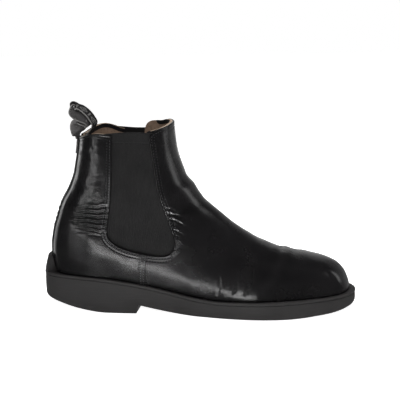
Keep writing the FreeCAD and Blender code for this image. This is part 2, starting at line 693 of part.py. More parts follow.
# path: up out of the shaft, back over the top fold, in to the pinch, out and down to the back
LOOP = [(41.2, 171.4), (42.6, 176.6), (40.6, 183.0), (36.6, 189.4), (31.6, 195.2), (26.6, 198.6), (22.6, 196.8),
        (22.4, 191.6), (26.6, 187.2), (32.2, 183.6), (36.6, 181.0), (37.0, 178.8), (33.0, 179.6), (26.6, 180.8),
        (21.6, 178.6), (20.8, 173.6), (24.6, 170.9), (28.4, 170.7)]
loop_path = catmull(LOOP, 4)
pull_loop = prism("pull_loop", [shift(p) for p in ribbon_outline(loop_path, rt)], "XZ_Plane", "ribbon_width")
pull_loop.Label = "pull_loop"
pull_loop.Placement = FreeCAD.Placement(FreeCAD.Vector(0, YS, 0), FreeCAD.Rotation())
node(pull_loop)


def tab_uv(v0, v1, w):
    def uv(a, b):
        v = lerp(v0, v1, b)
        ul, um = u_for_half(v, w, -1), u_for_half(v, w, 1)
        return lerp(-um, ul, a), v
    return uv


node(feature("loop_tab_outer", skin_solid(tab_uv(0.80, 0.893, 8.4), 12, 8, 1.75, 2.75)))
node(feature("loop_tab_inner", skin_solid(tab_uv(0.80, 0.893, 8.4), 12, 8, L0 - 1.35, L0 - 0.35)))

doc.recompute()

# ------------------------------------------------------------------ checks and export
bad = [o.Name for o in doc.Objects if ("Invalid" in o.State or "Error" in o.State)]
if bad:
    raise RuntimeError("features in error: %s" % bad)
lo = [1e9] * 3
hi = [-1e9] * 3
for o in NODES:
    s = o.Shape
    if s.isNull() or not s.isValid() or s.Volume <= 0:
        raise RuntimeError("bad shape: %s valid=%s vol=%s" % (o.Label, (not s.isNull()) and s.isValid(), None if s.isNull() else s.Volume))
    bb = s.BoundBox
    for i, (a, b) in enumerate(((bb.XMin, bb.XMax), (bb.YMin, bb.YMax), (bb.ZMin, bb.ZMax))):
        lo[i], hi[i] = min(lo[i], a), max(hi[i], b)
    bb = s.optimalBoundingBox(False, False) if hasattr(s, "optimalBoundingBox") else bb
    s.exportStep(os.path.join("parts", o.Label + ".step"))
    print("%-24s %9.1f mm3  solids %d  x %.1f..%.1f  y %.1f..%.1f  z %.1f..%.1f" % (
        o.Label, s.Volume, len(s.Solids), bb.XMin, bb.XMax, bb.YMin, bb.YMax, bb.ZMin, bb.ZMax))
print("overall", [round(k, 2) for k in lo], [round(k, 2) for k in hi])
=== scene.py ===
import math
import bpy
import numpy as np
from mathutils import Vector, Matrix
from mathutils.kdtree import KDTree
from mathutils.geometry import delaunay_2d_cdt


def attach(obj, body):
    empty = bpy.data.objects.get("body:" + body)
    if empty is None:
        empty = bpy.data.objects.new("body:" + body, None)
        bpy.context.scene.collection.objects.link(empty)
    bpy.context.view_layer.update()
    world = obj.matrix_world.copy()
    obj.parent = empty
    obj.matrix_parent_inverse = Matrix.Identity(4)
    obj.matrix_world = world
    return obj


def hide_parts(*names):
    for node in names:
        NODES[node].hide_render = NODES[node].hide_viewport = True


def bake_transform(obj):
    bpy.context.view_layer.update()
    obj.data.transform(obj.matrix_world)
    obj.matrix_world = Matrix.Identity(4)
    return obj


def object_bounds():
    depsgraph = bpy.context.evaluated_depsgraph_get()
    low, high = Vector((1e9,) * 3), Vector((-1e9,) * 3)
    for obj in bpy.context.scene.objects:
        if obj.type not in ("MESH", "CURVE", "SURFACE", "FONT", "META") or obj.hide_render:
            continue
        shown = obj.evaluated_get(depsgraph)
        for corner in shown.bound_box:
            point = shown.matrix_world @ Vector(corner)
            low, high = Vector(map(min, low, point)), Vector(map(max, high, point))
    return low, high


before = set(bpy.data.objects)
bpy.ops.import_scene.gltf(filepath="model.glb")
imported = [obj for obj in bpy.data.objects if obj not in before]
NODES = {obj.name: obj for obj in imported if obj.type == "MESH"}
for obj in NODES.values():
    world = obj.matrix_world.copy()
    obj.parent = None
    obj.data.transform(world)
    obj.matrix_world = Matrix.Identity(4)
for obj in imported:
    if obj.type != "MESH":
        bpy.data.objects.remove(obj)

CAD_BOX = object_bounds()
XS, YS = -146.75, 1.85          # shape-table millimetres to the row frame


# =====================================================================  master surface of the upper
def smooth(t):
    t = np.clip(t, 0.0, 1.0)
    return t * t * (3.0 - 2.0 * t)


def lerp(a, b, t):
    return a + (b - a) * t


class Spline:
    def __init__(self, pts):
        x = np.array([p[0] for p in pts], float)
        y = np.array([p[1] for p in pts], float)
        d = np.diff(y) / np.diff(x)
        m = np.zeros(len(x))
        m[0], m[-1] = d[0], d[-1]
        for i in range(1, len(x) - 1):
            if d[i - 1] * d[i] > 0:
                h0, h1 = x[i] - x[i - 1], x[i + 1] - x[i]
                w1, w2 = 2 * h1 + h0, h1 + 2 * h0
                m[i] = (w1 + w2) / (w1 / d[i - 1] + w2 / d[i])
        self.x, self.y, self.m = x, y, m

    def __call__(self, t):
        t = np.asarray(t, float)
        x, y, m = self.x, self.y, self.m
        k = np.clip(np.searchsorted(x, t, side="right") - 1, 0, len(x) - 2)
        h = x[k + 1] - x[k]
        s = (t - x[k]) / h
        r = ((1 + 2 * s) * (1 - s) ** 2 * y[k] + s * (1 - s) ** 2 * h * m[k]
             + s * s * (3 - 2 * s) * y[k + 1] + s * s * (s - 1) * h * m[k + 1])
        r = np.where(t < x[0], y[0] + m[0] * (t - x[0]), r)
        return np.where(t > x[-1], y[-1] + m[-1] * (t - x[-1]), r)


ZF = Spline([(-12, 34.3), (0, 34.6), (28, 35.2), (55, 34.0), (80, 31.0), (104, 26.8), (125, 22.3),
             (154, 17.3), (172, 16.0), (200, 16.2), (240, 17.2), (260, 17.7), (275, 18.6),
             (288, 20.2), (297, 21.6), (310, 23.6)])
AX = Spline([(0, 296.3), (.05, 295.3), (.10, 291.8), (.15, 284.5), (.20, 272.5), (.27, 251), (.34, 229),
             (.41, 206.5), (.48, 187.5), (.55, 171.5), (.62, 157.5), (.69, 147.5), (.76, 138.8),
             (.83, 132.2), (.90, 128.2), (.95, 126.4), (1, 125.0)])
AZ = Spline([(0, 21.4), (.05, 27.4), (.10, 35.2), (.15, 42.3), (.20, 47.6), (.27, 52.6), (.34, 57.0),
             (.41, 66.0), (.48, 77.4), (.55, 90.4), (.62, 102.6), (.69, 114.5), (.76, 128),
             (.83, 142.5), (.90, 157), (.95, 170), (1, 187)])
BX_Z = Spline([(30, 3.8), (36, 3.0), (45, 1.9), (55, 1.1), (63, 1.4), (71, 2.6), (80, 4.4), (88, 7.0),
               (94, 9.2), (100, 11.2), (108, 14.8), (116, 19.2), (124, 23.2), (132, 26.6), (140, 28.6),
               (150, 30.6), (160, 32.0), (168, 32.8), (186, 33.6)])
BZ = Spline([(0, 35.0), (.05, 41.7), (.10, 48.6), (.15, 55.5), (.20, 62.4), (.27, 72.3), (.34, 82.3),
             (.41, 92.5), (.48, 103), (.55, 113.5), (.62, 124), (.69, 134.5), (.76, 145.5),
             (.83, 157), (.90, 168), (.95, 176), (1, 184)])
_vv = np.arange(61) / 60.0
RIDGE = [(float(a), float(b)) for a, b in zip(AX(_vv), AZ(_vv))][::-1] + [(297.5, 16.0)]
ZR = Spline([(60, 900), (100, 420), (114, 262)] + [p for p in RIDGE if p[1] <= 187.1])
XF_Z = Spline([(p[1], p[0]) for p in RIDGE[::-1] if 56.0 < p[1] < 188])
YC = Spline([(0, 0), (110, 0), (150, 2), (200, 5), (240, 7), (270, 6.4), (296.5, 5)])
WL = Spline([(0, 35.2), (55, 35.2), (80, 36.2), (104, 36.4), (125, 38.0), (154, 45.0), (172, 50.2),
             (190, 53.8), (208, 55.6)])
WM = Spline([(0, 33.6), (55, 33.6), (80, 32.2), (104, 30.6), (125, 30.8), (154, 34.4), (172, 38.6),
             (190, 41.4), (208, 42.6)])
SHL = Spline([(30, 35.2), (60, 36.6), (90, 36.4), (120, 37.2), (150, 38.6), (186, 39.6)])
SHM = Spline([(30, 33.6), (60, 35.4), (90, 35.6), (120, 36.6), (150, 38.2), (186, 39.2)])


def half_arch(tau, k):
    tau = np.clip(tau, 0.0, 1.0)
    return np.sqrt(np.maximum(0.0, 1.0 - tau * tau)) * (1.0 + k * tau * tau)


def half_width(x, z, outer):
    """Half width at side-view point; outer is True on the wearer's right side."""
    xc = np.minimum(x, 208.0)
    w = np.where(outer, WL(xc), WM(xc))
    t = (x - 208.0) / 88.6
    w = np.where(x > 208.0, w * half_arch(t, np.where(outer, 0.085, 0.05)), w)
    zf = ZF(x)
    b = smooth((z - zf - 15.0) / 75.0)
    w = lerp(w, np.where(outer, SHL(z), SHM(z)), b)
    w = w - 7.5 * smooth((z - 110.0) / 62.0) * np.exp(-((x - 89.0) / 21.0) ** 2)
    rb = lerp(50.0, 37.0, smooth((z - 40.0) / 95.0))
    gb = half_arch(1.0 - (x - BX_Z(z)) / rb, 0.12)
    wv = 1.0 - smooth((z - 75.0) / 60.0)
    tv = (z - zf) / np.maximum(1.0, ZR(x) - zf)
    kv = lerp(0.20, 0.26, smooth((x - 200.0) / 60.0))
    gv = half_arch(tv, kv)
    th = 1.0 - (XF_Z(z) - x) / lerp(38.0, 31.0, smooth((z - 125.0) / 45.0))
    gh = half_arch(th, 0.14)
    gh = np.where(wv < 1.0, gh, gv)
    return np.maximum(0.0, w * gb * (wv * gv + (1.0 - wv) * gh))


def sheet_q(q, v):
    bz, ax, az = BZ(v), AX(v), AZ(v)
    bx = BX_Z(bz)
    x = lerp(bx, ax, q)
    z = lerp(bz, az, q)
    bz0, ax0, az0 = 35.0, 296.3, 21.4
    bx0 = float(BX_Z(bz0))
    z0 = lerp(bz0, az0, (x - bx0) / (ax0 - bx0))
    k = np.where(v < 0.25, (1.0 - v / 0.25) ** 2, 0.0)
    return x, z + (ZF(np.clip(x, bx0, ax0)) - z0) * k


QF, QB = 0.985, 0.02


def master(u, v):
    u = np.mod(np.asarray(u, float), 1.0)
    v = np.asarray(v, float)
    q = 0.5 * (1.0 - np.cos(2.0 * np.pi * u))
    x, z = sheet_q(q, v)
    outer = u < 0.5
    w = half_width(x, z, outer)
    xe, ze = sheet_q(np.full_like(q, QF), v)
    wf = half_width(xe, ze, outer) * np.sqrt(np.maximum(0.0, 1.0 - q) / (1.0 - QF))
    xb, zb = sheet_q(np.full_like(q, QB), v)
    wb = half_width(xb, zb, outer) * np.sqrt(np.maximum(0.0, q) / QB)
    w = np.where(q > 0.95, lerp(w, wf, smooth((q - 0.95) / 0.035)), w)
    w = np.where(q < 0.05, lerp(wb, w, smooth((q - 0.02) / 0.03)), w)
    return np.stack([x, YC(x) + np.where(outer, -1.0, 1.0) * w, z], -1)


def normal(u, v):
    du, dv = 0.002, 0.003
    a, b = master(u - du, v), master(u + du, v)
    c, d = master(u, np.maximum(0.0, v - dv)), master(u, np.minimum(1.0, v + dv))
    n = np.cross(b - a, d - c)
    return n / np.maximum(1e-9, np.linalg.norm(n, axis=-1, keepdims=True))


def ring_for(x, z):
    x = np.asarray(x, float)
    z = np.asarray(z, float)
    lo, hi = np.zeros_like(x), np.ones_like(x)
    for _ in range(40):
        v = 0.5 * (lo + hi)
        bx = BX_Z(BZ(v))
        q = np.clip((x - bx) / (AX(v) - bx), 0.0, 1.0)
        zz = sheet_q(q, v)[1]
        low = zz < z
        lo = np.where(low, v, lo)
        hi = np.where(low, hi, v)
    return np.arccos(1.0 - 2.0 * q) / (2.0 * np.pi), v


# =====================================================================  noise
_rs = np.random.RandomState(7)
_LAT = _rs.rand(64, 64, 64)


def noise(x, y, z=0.0):
    """Smooth value noise, -1..1."""
    x, y, z = np.broadcast_arrays(np.asarray(x, float), np.asarray(y, float), np.asarray(z, float))
    r = 0.0
    xi, yi, zi = np.floor(x).astype(int), np.floor(y).astype(int), np.floor(z).astype(int)
    fx, fy, fz = smooth(x - xi), smooth(y - yi), smooth(z - zi)
    for a in (0, 1):
        for b in (0, 1):
            for c in (0, 1):
                w = (fx if a else 1 - fx) * (fy if b else 1 - fy) * (fz if c else 1 - fz)
                r = r + w * _LAT[(xi + a) % 64, (yi + b) % 64, (zi + c) % 64]
    return 2.0 * r - 1.0


# =====================================================================  creases and folds in the leather
def crease(x, z, p0, p1, w, amp, bow=0.0):
    """A valley with raised lips from p0 to p1 in the side view."""
    dx, dz = p1[0] - p0[0], p1[1] - p0[1]
    ln = math.hypot(dx, dz)
    t = ((x - p0[0]) * dx + (z - p0[1]) * dz) / ln ** 2
    d = ((x - p0[0]) * -dz + (z - p0[1]) * dx) / ln - bow * np.sin(np.pi * np.clip(t, 0, 1))
    fade = smooth((t + 0.12) / 0.30) * smooth((1.12 - t) / 0.30)
    return amp * fade * (-np.exp(-(d / w) ** 2) + 0.55 * np.exp(-((d - 2.0 * w) / (1.2 * w)) ** 2)
                         + 0.55 * np.exp(-((d + 2.0 * w) / (1.2 * w)) ** 2))


def leather_disp(u, v):
    """Offset in mm of the worn leather from the clean surface."""
    u = np.mod(u, 1.0)
    p = master(u, v)
    x, y, z = p[..., 0], p[..., 1], p[..., 2]
    outer = u < 0.5
    s = np.where(outer, 1.0, 0.0)
    h = 0.34 * noise(x / 27.0 + 3, y / 27.0 + 5, z / 24.0) + 0.13 * noise(x / 9.0, y / 9.0 + 9, z / 8.0)
    # --- heel of the quarter: stack of horizontal folds above the stiffener
    wob = 1.1 * noise(x / 9.0, z / 30.0 + 2) + 0.5 * noise(x / 4.0 + 7, 1.3)
    for zc, sl, amp, x0, x1 in ((105.5, 0.10, 0.55, 32, 63), (101.0, 0.06, 0.85, 30, 66), (96.6, 0.02, 1.0, 27, 65),
                                (92.0, -0.03, 1.05, 27, 66), (87.6, -0.07, 0.95, 30, 64), (83.6, -0.10, 0.75, 34, 62),
                                (79.8, -0.08, 0.4, 37, 58)):
        c = zc + sl * (x - 45.0) + wob
        win = smooth((x - x0 + 5) / 9.0) * smooth((x1 + 5 - x) / 9.0)
        h = h + (0.25 + 0.75 * s) * amp * win * (np.exp(-((z - c) / 1.25) ** 2) - 0.85 * np.exp(-((z - c + 2.1) / 0.95) ** 2))
    # soft hollow behind the ankle above those folds
    h = h - 0.9 * np.exp(-((z - 112.0) / 14.0) ** 2) * smooth((62 - x) / 25.0) * smooth((x - 14) / 14.0)
    # fine ripples up the back of the shaft
    rip = noise(x / 11.0 + 0.8 * noise(x / 6.0, z / 9.0), z / 2.6 + 11.0)
    win = smooth((z - 106) / 10.0) * smooth((174 - z) / 12.0) * smooth((x - 34) / 6.0) * smooth((62 - x) / 8.0)
    h = h + 0.30 * rip * win * (0.35 + 0.65 * s)
    # short slanting creases at the top corner of the front panel
    for k in range(8):
        wk = math.sin(2.7 * k + 0.6)
        h = h + (0.3 + 0.7 * s) * crease(x, z, (106.6 + 1.6 * wk, 146.0 + 4.1 * k), (116.6 - 0.3 * k + 1.8 * wk, 151.0 + 4.3 * k + 0.8 * wk), 0.80 + 0.15 * wk, 0.50 - 0.03 * k, 0.8)
    # fan of creases in front of the gusset
    for (a0, b0, a1, b1, am, ww) in ((120.5, 103, 131, 99, .20, 1.2), (122, 98.5, 141, 90, .26, 1.5), (124.5, 92.5, 137, 86.5, .34, 1.1),
                                     (126.0, 88.5, 146, 80, .22, 1.7), (127.5, 82, 138, 75.5, .30, 1.2), (129.0, 77.5, 143, 69, .20, 1.6),
                                     (130.5, 70, 138, 64, .16, 1.3), (131, 106, 150, 96, .22, 2.2), (141, 88, 156, 80, .16, 2.6)):
        h = h + (0.35 + 0.65 * s) * crease(x, z, (a0, b0), (a1, b1), ww, am, 1.0)
    # ankle break across the instep: a soft fold over the front
    fr = smooth((x - 118.0) / 22.0)
    h = h + fr * (1.0 * np.exp(-((z - 0.35 * (x - 140) - 119.0) / 5.5) ** 2) - 1.0 * np.exp(-((z - 0.35 * (x - 140) - 131.0) / 6.5) ** 2)
                  - 0.6 * np.exp(-((z - 0.5 * (x - 150) - 104.0) / 5.0) ** 2))
    # flex creases at the ball, over the ridge and down to the welt
    zr = ZR(x)
    drop = np.clip(zr - z, 0, 60)
    for xc, lean, amp, w in ((219.5, 0.55, 0.55, 5.0), (228.0, 0.60, 0.95, 3.8), (243.0, 0.55, 0.50, 4.6), (206.0, 0.65, 0.35, 6.0)):
        c = xc - lean * drop
        f = np.exp(-drop / 24.0)
        h = h - amp * f * np.exp(-((x - c) / w) ** 2) + 0.55 * amp * f * np.exp(-((x - c - 1.9 * w) / (1.1 * w)) ** 2)
    h = h + (0.45 + 0.55 * s) * (crease(x, z, (173.6, 38.0), (170.6, 23.0), 1.15, 0.95, 0.9)
                                 + crease(x, z, (190.5, 36.0), (185.4, 24.0), 1.15, 0.85, 1.0)
                                 + crease(x, z, (201.0, 33.0), (196.5, 23.0), 1.8, 0.35, 0.6)
                                 + crease(x, z, (181.0, 30.0), (179.0, 21.0), 1.6, 0.30, 0.4))
    h = h + 0.5 * s * np.exp(-((x - 180.0) / 5.5) ** 2 - ((z - 27.0) / 6.0) ** 2)
    # fullest line of the lasted side, falling from the heel to the ball
    zb = np.interp(x, [45, 56, 66, 81, 100, 114, 134, 154, 174, 188, 210], [64, 60, 56, 51, 47, 42, 35, 29, 24, 21, 19])
    h = h + 1.25 * (0.5 + 0.5 * s) * np.exp(-((z - zb) / 16.0) ** 2) * smooth((x - 34.0) / 22.0) * smooth((214.0 - x) / 40.0)
    # slightly proud rim over the lasted edge
    h = h * smooth((z - ZF(x) + 1.5) / 6.0)
    return h


def edge_lift(d, rows=(2.3, 5.3)):
    """Turned edge: a rounded rim, then a stitch groove for each row, from distance to the edge."""
    r = 0.75
    k = np.clip(r - d, 0.0, r)
    e = -(r - np.sqrt(np.maximum(0.0, r * r - k * k)))
    e = e + 0.22 * np.exp(-((d - 1.0) / 0.9) ** 2)
    for q in rows:
        e = e - 0.20 * np.exp(-((d - q) / 0.55) ** 2)
    return e


# =====================================================================  outlines in the side view (shape-table mm)
SEAM = [(97.6, 26.0), (97.7, 30.0), (98.2, 44.0), (99.4, 58.6)]
G_REAR = [(99.4, 58.6), (89.5, 60.6), (81.0, 63.0), (71.8, 67.2), (66.2, 71.8), (63.6, 78.0), (64.8, 90.0),
          (66.6, 101.0), (68.4, 113.0), (69.8, 131.0), (70.8, 150.0), (71.8, 173.2)]
G_FRONT = [(99.4, 58.6), (107.0, 57.2), (115.0, 56.6), (123.0, 58.2), (127.7, 63.4), (129.0, 70.4),
           (126.2, 81.6), (119.3, 101.6), (114.9, 117.0), (112.2, 131.0), (109.8, 146.0), (107.8, 160.0), (106.8, 167.0)]
CORNER = [(106.8, 167.0), (106.9, 171.6), (108.4, 175.6), (112.2, 178.6), (118.0, 181.0)]
TOP_BACK = [(71.8, 173.2), (65.0, 174.2), (57.0, 174.8), (48.0, 173.6), (40.0, 171.4), (33.0, 169.6), (30.0, 169.2)]


def polyline(pts, step=1.0, smoothit=True):
    """Dense points along a list, through a centripetal Catmull-Rom."""
    p = np.array(pts, float)
    if len(p) == 2 or not smoothit:
        d = np.concatenate([[0], np.cumsum(np.linalg.norm(np.diff(p, axis=0), axis=1))])
        n = max(2, int(d[-1] / step) + 1)
        s = np.linspace(0, d[-1], n)
        return np.stack([np.interp(s, d, p[:, k]) for k in range(p.shape[1])], 1)
    out = []
    ext = np.vstack([2 * p[0] - p[1], p, 2 * p[-1] - p[-2]])
    for i in range(1, len(ext) - 2):
        p0, p1, p2, p3 = ext[i - 1], ext[i], ext[i + 1], ext[i + 2]
        t0 = 0.0
        t1 = t0 + max(1e-6, np.linalg.norm(p1 - p0)) ** 0.5
        t2 = t1 + max(1e-6, np.linalg.norm(p2 - p1)) ** 0.5
        t3 = t2 + max(1e-6, np.linalg.norm(p3 - p2)) ** 0.5
        n = max(2, int(np.linalg.norm(p2 - p1) / (step * 0.5)) + 1)
        t = np.linspace(t1, t2, n, endpoint=False)[:, None]
        a1 = (t1 - t) / (t1 - t0) * p0 + (t - t0) / (t1 - t0) * p1
        a2 = (t2 - t) / (t2 - t1) * p1 + (t - t1) / (t2 - t1) * p2
        a3 = (t3 - t) / (t3 - t2) * p2 + (t - t2) / (t3 - t2) * p3
        b1 = (t2 - t) / (t2 - t0) * a1 + (t - t0) / (t2 - t0) * a2
        b2 = (t3 - t) / (t3 - t1) * a2 + (t - t1) / (t3 - t1) * a3
        out.append((t2 - t) / (t2 - t1) * b1 + (t - t1) / (t2 - t1) * b2)
    out.append(p[-1:])
    q = np.vstack(out)
    d = np.concatenate([[0], np.cumsum(np.linalg.norm(np.diff(q, axis=0), axis=1))])
    n = max(2, int(d[-1] / step) + 1)
    s = np.linspace(0, d[-1], n)
    return np.stack([np.interp(s, d, q[:, k]) for k in range(q.shape[1])], 1)


def to_uv(line, outer=True):
    u, v = ring_for(line[:, 0], line[:, 1])
    return np.stack([u if outer else 1.0 - u, v], 1)


# =====================================================================  mesh helpers
def new_object(name, verts, faces, uvs=None, attrs=None, smooth_shade=True):
    me = bpy.data.meshes.new(name)
    verts = np.asarray(verts, float)
    me.vertices.add(len(verts))
    me.vertices.foreach_set("co", (verts / 1000.0).astype(np.float32).ravel())
    lens = [len(f) for f in faces]
    flat = np.fromiter((i for f in faces for i in f), dtype=np.int32)
    me.loops.add(len(flat))
    me.loops.foreach_set("vertex_index", flat)
    me.polygons.add(len(lens))
    starts = np.concatenate([[0], np.cumsum(lens)[:-1]]).astype(np.int32)
    me.polygons.foreach_set("loop_start", starts)
    me.update(calc_edges=True)
    if uvs is not None:
        layer = me.uv_layers.new(name="UVMap")
        layer.data.foreach_set("uv", np.asarray(uvs, float)[flat].astype(np.float32).ravel())
    for key, val in (attrs or {}).items():
        a = me.attributes.new(key, "FLOAT", "POINT")
        a.data.foreach_set("value", np.asarray(val, np.float32))
    if smooth_shade:
        me.polygons.foreach_set("use_smooth", np.ones(len(lens), bool))
    me.validate()
    ob = bpy.data.objects.new(name, me)
    bpy.context.scene.collection.objects.link(ob)
    return ob


def place(p):
    q = np.array(p, float)
    # the last few centimetres of sole and lasted edge sit lower than the clean last
    drop = np.interp(q[..., 0], [264, 276, 286, 296, 305, 313], [0.0, 0.9, 2.0, 3.4, 4.7, 5.4])
    q[..., 2] -= drop * smooth((ZF(np.clip(q[..., 0], 0, 310)) + 24.0 - q[..., 2]) / 20.0)
    q[..., 0] += XS
    q[..., 1] += YS
    return q


def grid_faces(na, nb, off=0, flip=False):
    i = np.arange(na - 1)[:, None]
    j = np.arange(nb - 1)[None, :]
    a = off + i * nb + j
    b, c, d = a + nb, a + nb + 1, a + 1
    f = np.stack([a, b, c, d] if not flip else [a, d, c, b], -1).reshape(-1, 4)
    return f.tolist()


def two_sided(name, outer, inner, uvs=None, attrs=None):
    """Closed shell from two (na, nb, 3) grids, joined round the rim."""
    na, nb = outer.shape[:2]
    n = na * nb
    verts = np.vstack([outer.reshape(-1, 3), inner.reshape(-1, 3)])
    faces = grid_faces(na, nb, 0) + grid_faces(na, nb, n, True)
    rim = [(0, j) for j in range(nb)] + [(i, nb - 1) for i in range(1, na)]
    rim += [(na - 1, j) for j in range(nb - 2, -1, -1)] + [(i, 0) for i in range(na - 2, 0, -1)]
    idx = [i * nb + j for i, j in rim]
    for k in range(len(idx)):
        a, b = idx[k], idx[(k + 1) % len(idx)]
        faces.append([a, b, b + n, a + n])
    uv2 = None if uvs is None else np.vstack([uvs.reshape(-1, 2)] * 2)
    at = {k: np.concatenate([w.ravel(), w.ravel()]) for k, w in (attrs or {}).items()}
    return new_object(name, verts, faces, uv2, at)


def coons(B, T, L, R, a, b):
    """(u, v) grid between four curves; a and b are (na, nb) parameter grids."""
    P = ((1 - b)[..., None] * B(a) + b[..., None] * T(a) + (1 - a)[..., None] * L(b) + a[..., None] * R(b))
    c00, c10, c01, c11 = B(np.array(0.0)), B(np.array(1.0)), T(np.array(0.0)), T(np.array(1.0))
    P = P - ((1 - a) * (1 - b))[..., None] * c00 - (a * (1 - b))[..., None] * c10
    return P - ((1 - a) * b)[..., None] * c01 - (a * b)[..., None] * c11


EDGE = [0.14, 0.36, 0.68, 1.1, 1.6, 2.05, 2.5, 3.0, 3.6, 4.4, 4.95, 5.45, 6.0, 6.8]
STEP = 1.35
T0 = -1.6
G1, G0 = -1.85, -2.95
L1, L0 = -3.2, -4.2
PU, PV = 600.0, 200.0


class Panel:
    """A piece of the upper bounded by side-view lines.

    loop: [(uv curve, has_rim)], in order round the piece. Points are kept as (u, v)."""

    def __init__(self, loop, step=STEP, edge_rows=EDGE):
        self.curves = loop
        pts, flag = [], []
        for c, rim in loop:
            X = master(c[:, 0], c[:, 1])
            d = np.concatenate([[0], np.cumsum(np.linalg.norm(np.diff(X, axis=0), axis=1))])
            n = max(2, int(round(d[-1] / (min(step, 1.2) if rim else step * 1.3))) + 1)
            s = np.linspace(0, d[-1], n)[:-1]
            pts.append(np.stack([np.interp(s, d, c[:, 0]), np.interp(s, d, c[:, 1])], 1))
            flag += [rim] * (n - 1)
        self.poly = np.vstack(pts)
        self.flag = np.array(flag)
        P = self.poly * [PU, PV]
        area = 0.5 * np.sum(P[:, 0] * np.roll(P[:, 1], -1) - np.roll(P[:, 0], -1) * P[:, 1])
        self.sign = 1.0 if area > 0 else -1.0
        self.rim_pts = self._dense(True)
        self.kd = self._tree(self.rim_pts)
        every = self._dense(None)
        kd_all = self._tree(every)
        rows = [self.poly]
        if self.flag.any() and edge_rows:
            base = self.poly[self.flag]
            dr = self.inward(self.poly)[self.flag]
            for e in edge_rows:
                q = base + e * dr
                X = master(q[:, 0], q[:, 1])
                ok = (self.dist(X, self.kd) > 0.93 * e) & self.inside(q)
                rows.append(q[ok])
        # interior lattice
        lo, hi = self.poly.min(0), self.poly.max(0)
        uu = np.linspace(lo[0], hi[0], 300)
        vm = np.clip(np.linspace(lo[1], hi[1], 7), 0.02, 0.98)
        du = np.max([np.linalg.norm(np.diff(master(uu, np.full_like(uu, w)), axis=0), axis=1) for w in vm], 0)
        cu = np.concatenate([[0], np.cumsum(du)])
        gu = np.interp(np.arange(0.5 * step, cu[-1], step), cu, uu)
        ww = np.linspace(lo[1], hi[1], 300)
        um = np.linspace(lo[0], hi[0], 9)
        dv = np.max([np.linalg.norm(np.diff(master(np.full_like(ww, w), ww), axis=0), axis=1) for w in um], 0)
        cv = np.concatenate([[0], np.cumsum(dv)])
        gv = np.interp(np.arange(0.5 * step, cv[-1], step), cv, ww)
        A, B = np.meshgrid(gu, gv, indexing="ij")
        if len(gu) > 1:
            A = A + 0.25 * np.gradient(gu)[:, None] * np.where(np.arange(len(gv)) % 2, 1, -1)[None, :]
        G = np.stack([A.ravel(), B.ravel()], 1)
        G = G[self.inside(G)]
        X = master(G[:, 0], G[:, 1])
        ok = self.dist(X, kd_all) > 0.55 * step
        if edge_rows and self.flag.any():
            ok &= self.dist(X, self.kd) > edge_rows[-1] + 0.4 * step
        rows.append(G[ok])
        allp = np.vstack(rows)
        n = len(self.poly)
        edges = [(i, (i + 1) % n) for i in range(n)]
        r = delaunay_2d_cdt([Vector(p) for p in (allp * [PU, PV]).tolist()], edges, [], 0, 1e-5)
        self.uv = np.array([tuple(p) for p in r[0]], float) / [PU, PV]
        F = np.array([f for f in r[2] if len(f) == 3], int)
        cen = self.uv[F].mean(1)
        F = F[self.inside(cen)]
        a = self.uv[F] * [PU, PV]
        cr = ((a[:, 1, 0] - a[:, 0, 0]) * (a[:, 2, 1] - a[:, 0, 1]) - (a[:, 2, 0] - a[:, 0, 0]) * (a[:, 1, 1] - a[:, 0, 1]))
        F = F[np.abs(cr) > 1e-7]
        cr = cr[np.abs(cr) > 1e-7]
        F[cr < 0] = F[cr < 0][:, ::-1]
        used = np.unique(F)
        remap = np.full(len(self.uv), -1)
        remap[used] = np.arange(len(used))
        self.uv = self.uv[used]
        self.F = remap[F]
        e = np.sort(np.vstack([self.F[:, [0, 1]], self.F[:, [1, 2]], self.F[:, [2, 0]]]), 1)
        key = e[:, 0] * len(self.uv) + e[:, 1]
        dirs = np.vstack([self.F[:, [0, 1]], self.F[:, [1, 2]], self.F[:, [2, 0]]])
        _, idx, cnt = np.unique(key, return_index=True, return_counts=True)
        self.border = dirs[idx[cnt == 1]]
        self.X = master(self.uv[:, 0], self.uv[:, 1])
        self.N = normal(self.uv[:, 0], self.uv[:, 1])
        self.d = self.dist(self.X, self.kd) if self.kd else np.full(len(self.uv), 99.0)

    def _dense(self, only):
        out = []
        for c, rim in self.curves:
            if only is None or rim == only:
                X = master(c[:, 0], c[:, 1])
                d = np.concatenate([[0], np.cumsum(np.linalg.norm(np.diff(X, axis=0), axis=1))])
                s = np.arange(0, d[-1], 0.12 if only else 0.4)
                out.append(np.stack([np.interp(s, d, X[:, k]) for k in range(3)], 1))
        return np.vstack(out) if out else None

    @staticmethod
    def _tree(p):
        if p is None:
            return None
        kd = KDTree(len(p))
        for i, q in enumerate(p.tolist()):
            kd.insert(q, i)
        kd.balance()
        return kd

    @staticmethod
    def dist(X, kd):
        return np.fromiter((kd.find(p)[2] for p in X.tolist()), float, len(X))

    def inside(self, q):
        P = self.poly * [PU, PV]
        Q = q * [PU, PV]
        res = np.zeros(len(Q), bool)
        x1, y1 = P[:, 0], P[:, 1]
        x2, y2 = np.roll(x1, -1), np.roll(y1, -1)
        for k in range(0, len(Q), 4000):
            qx, qy = Q[k:k + 4000, 0][:, None], Q[k:k + 4000, 1][:, None]
            c = (y1[None] > qy) != (y2[None] > qy)
            with np.errstate(divide="ignore", invalid="ignore"):
                xi = (x2 - x1)[None] * (qy - y1[None]) / (y2 - y1)[None] + x1[None]
            res[k:k + 4000] = (np.sum(c & (qx < xi), 1) % 2).astype(bool)
        return res

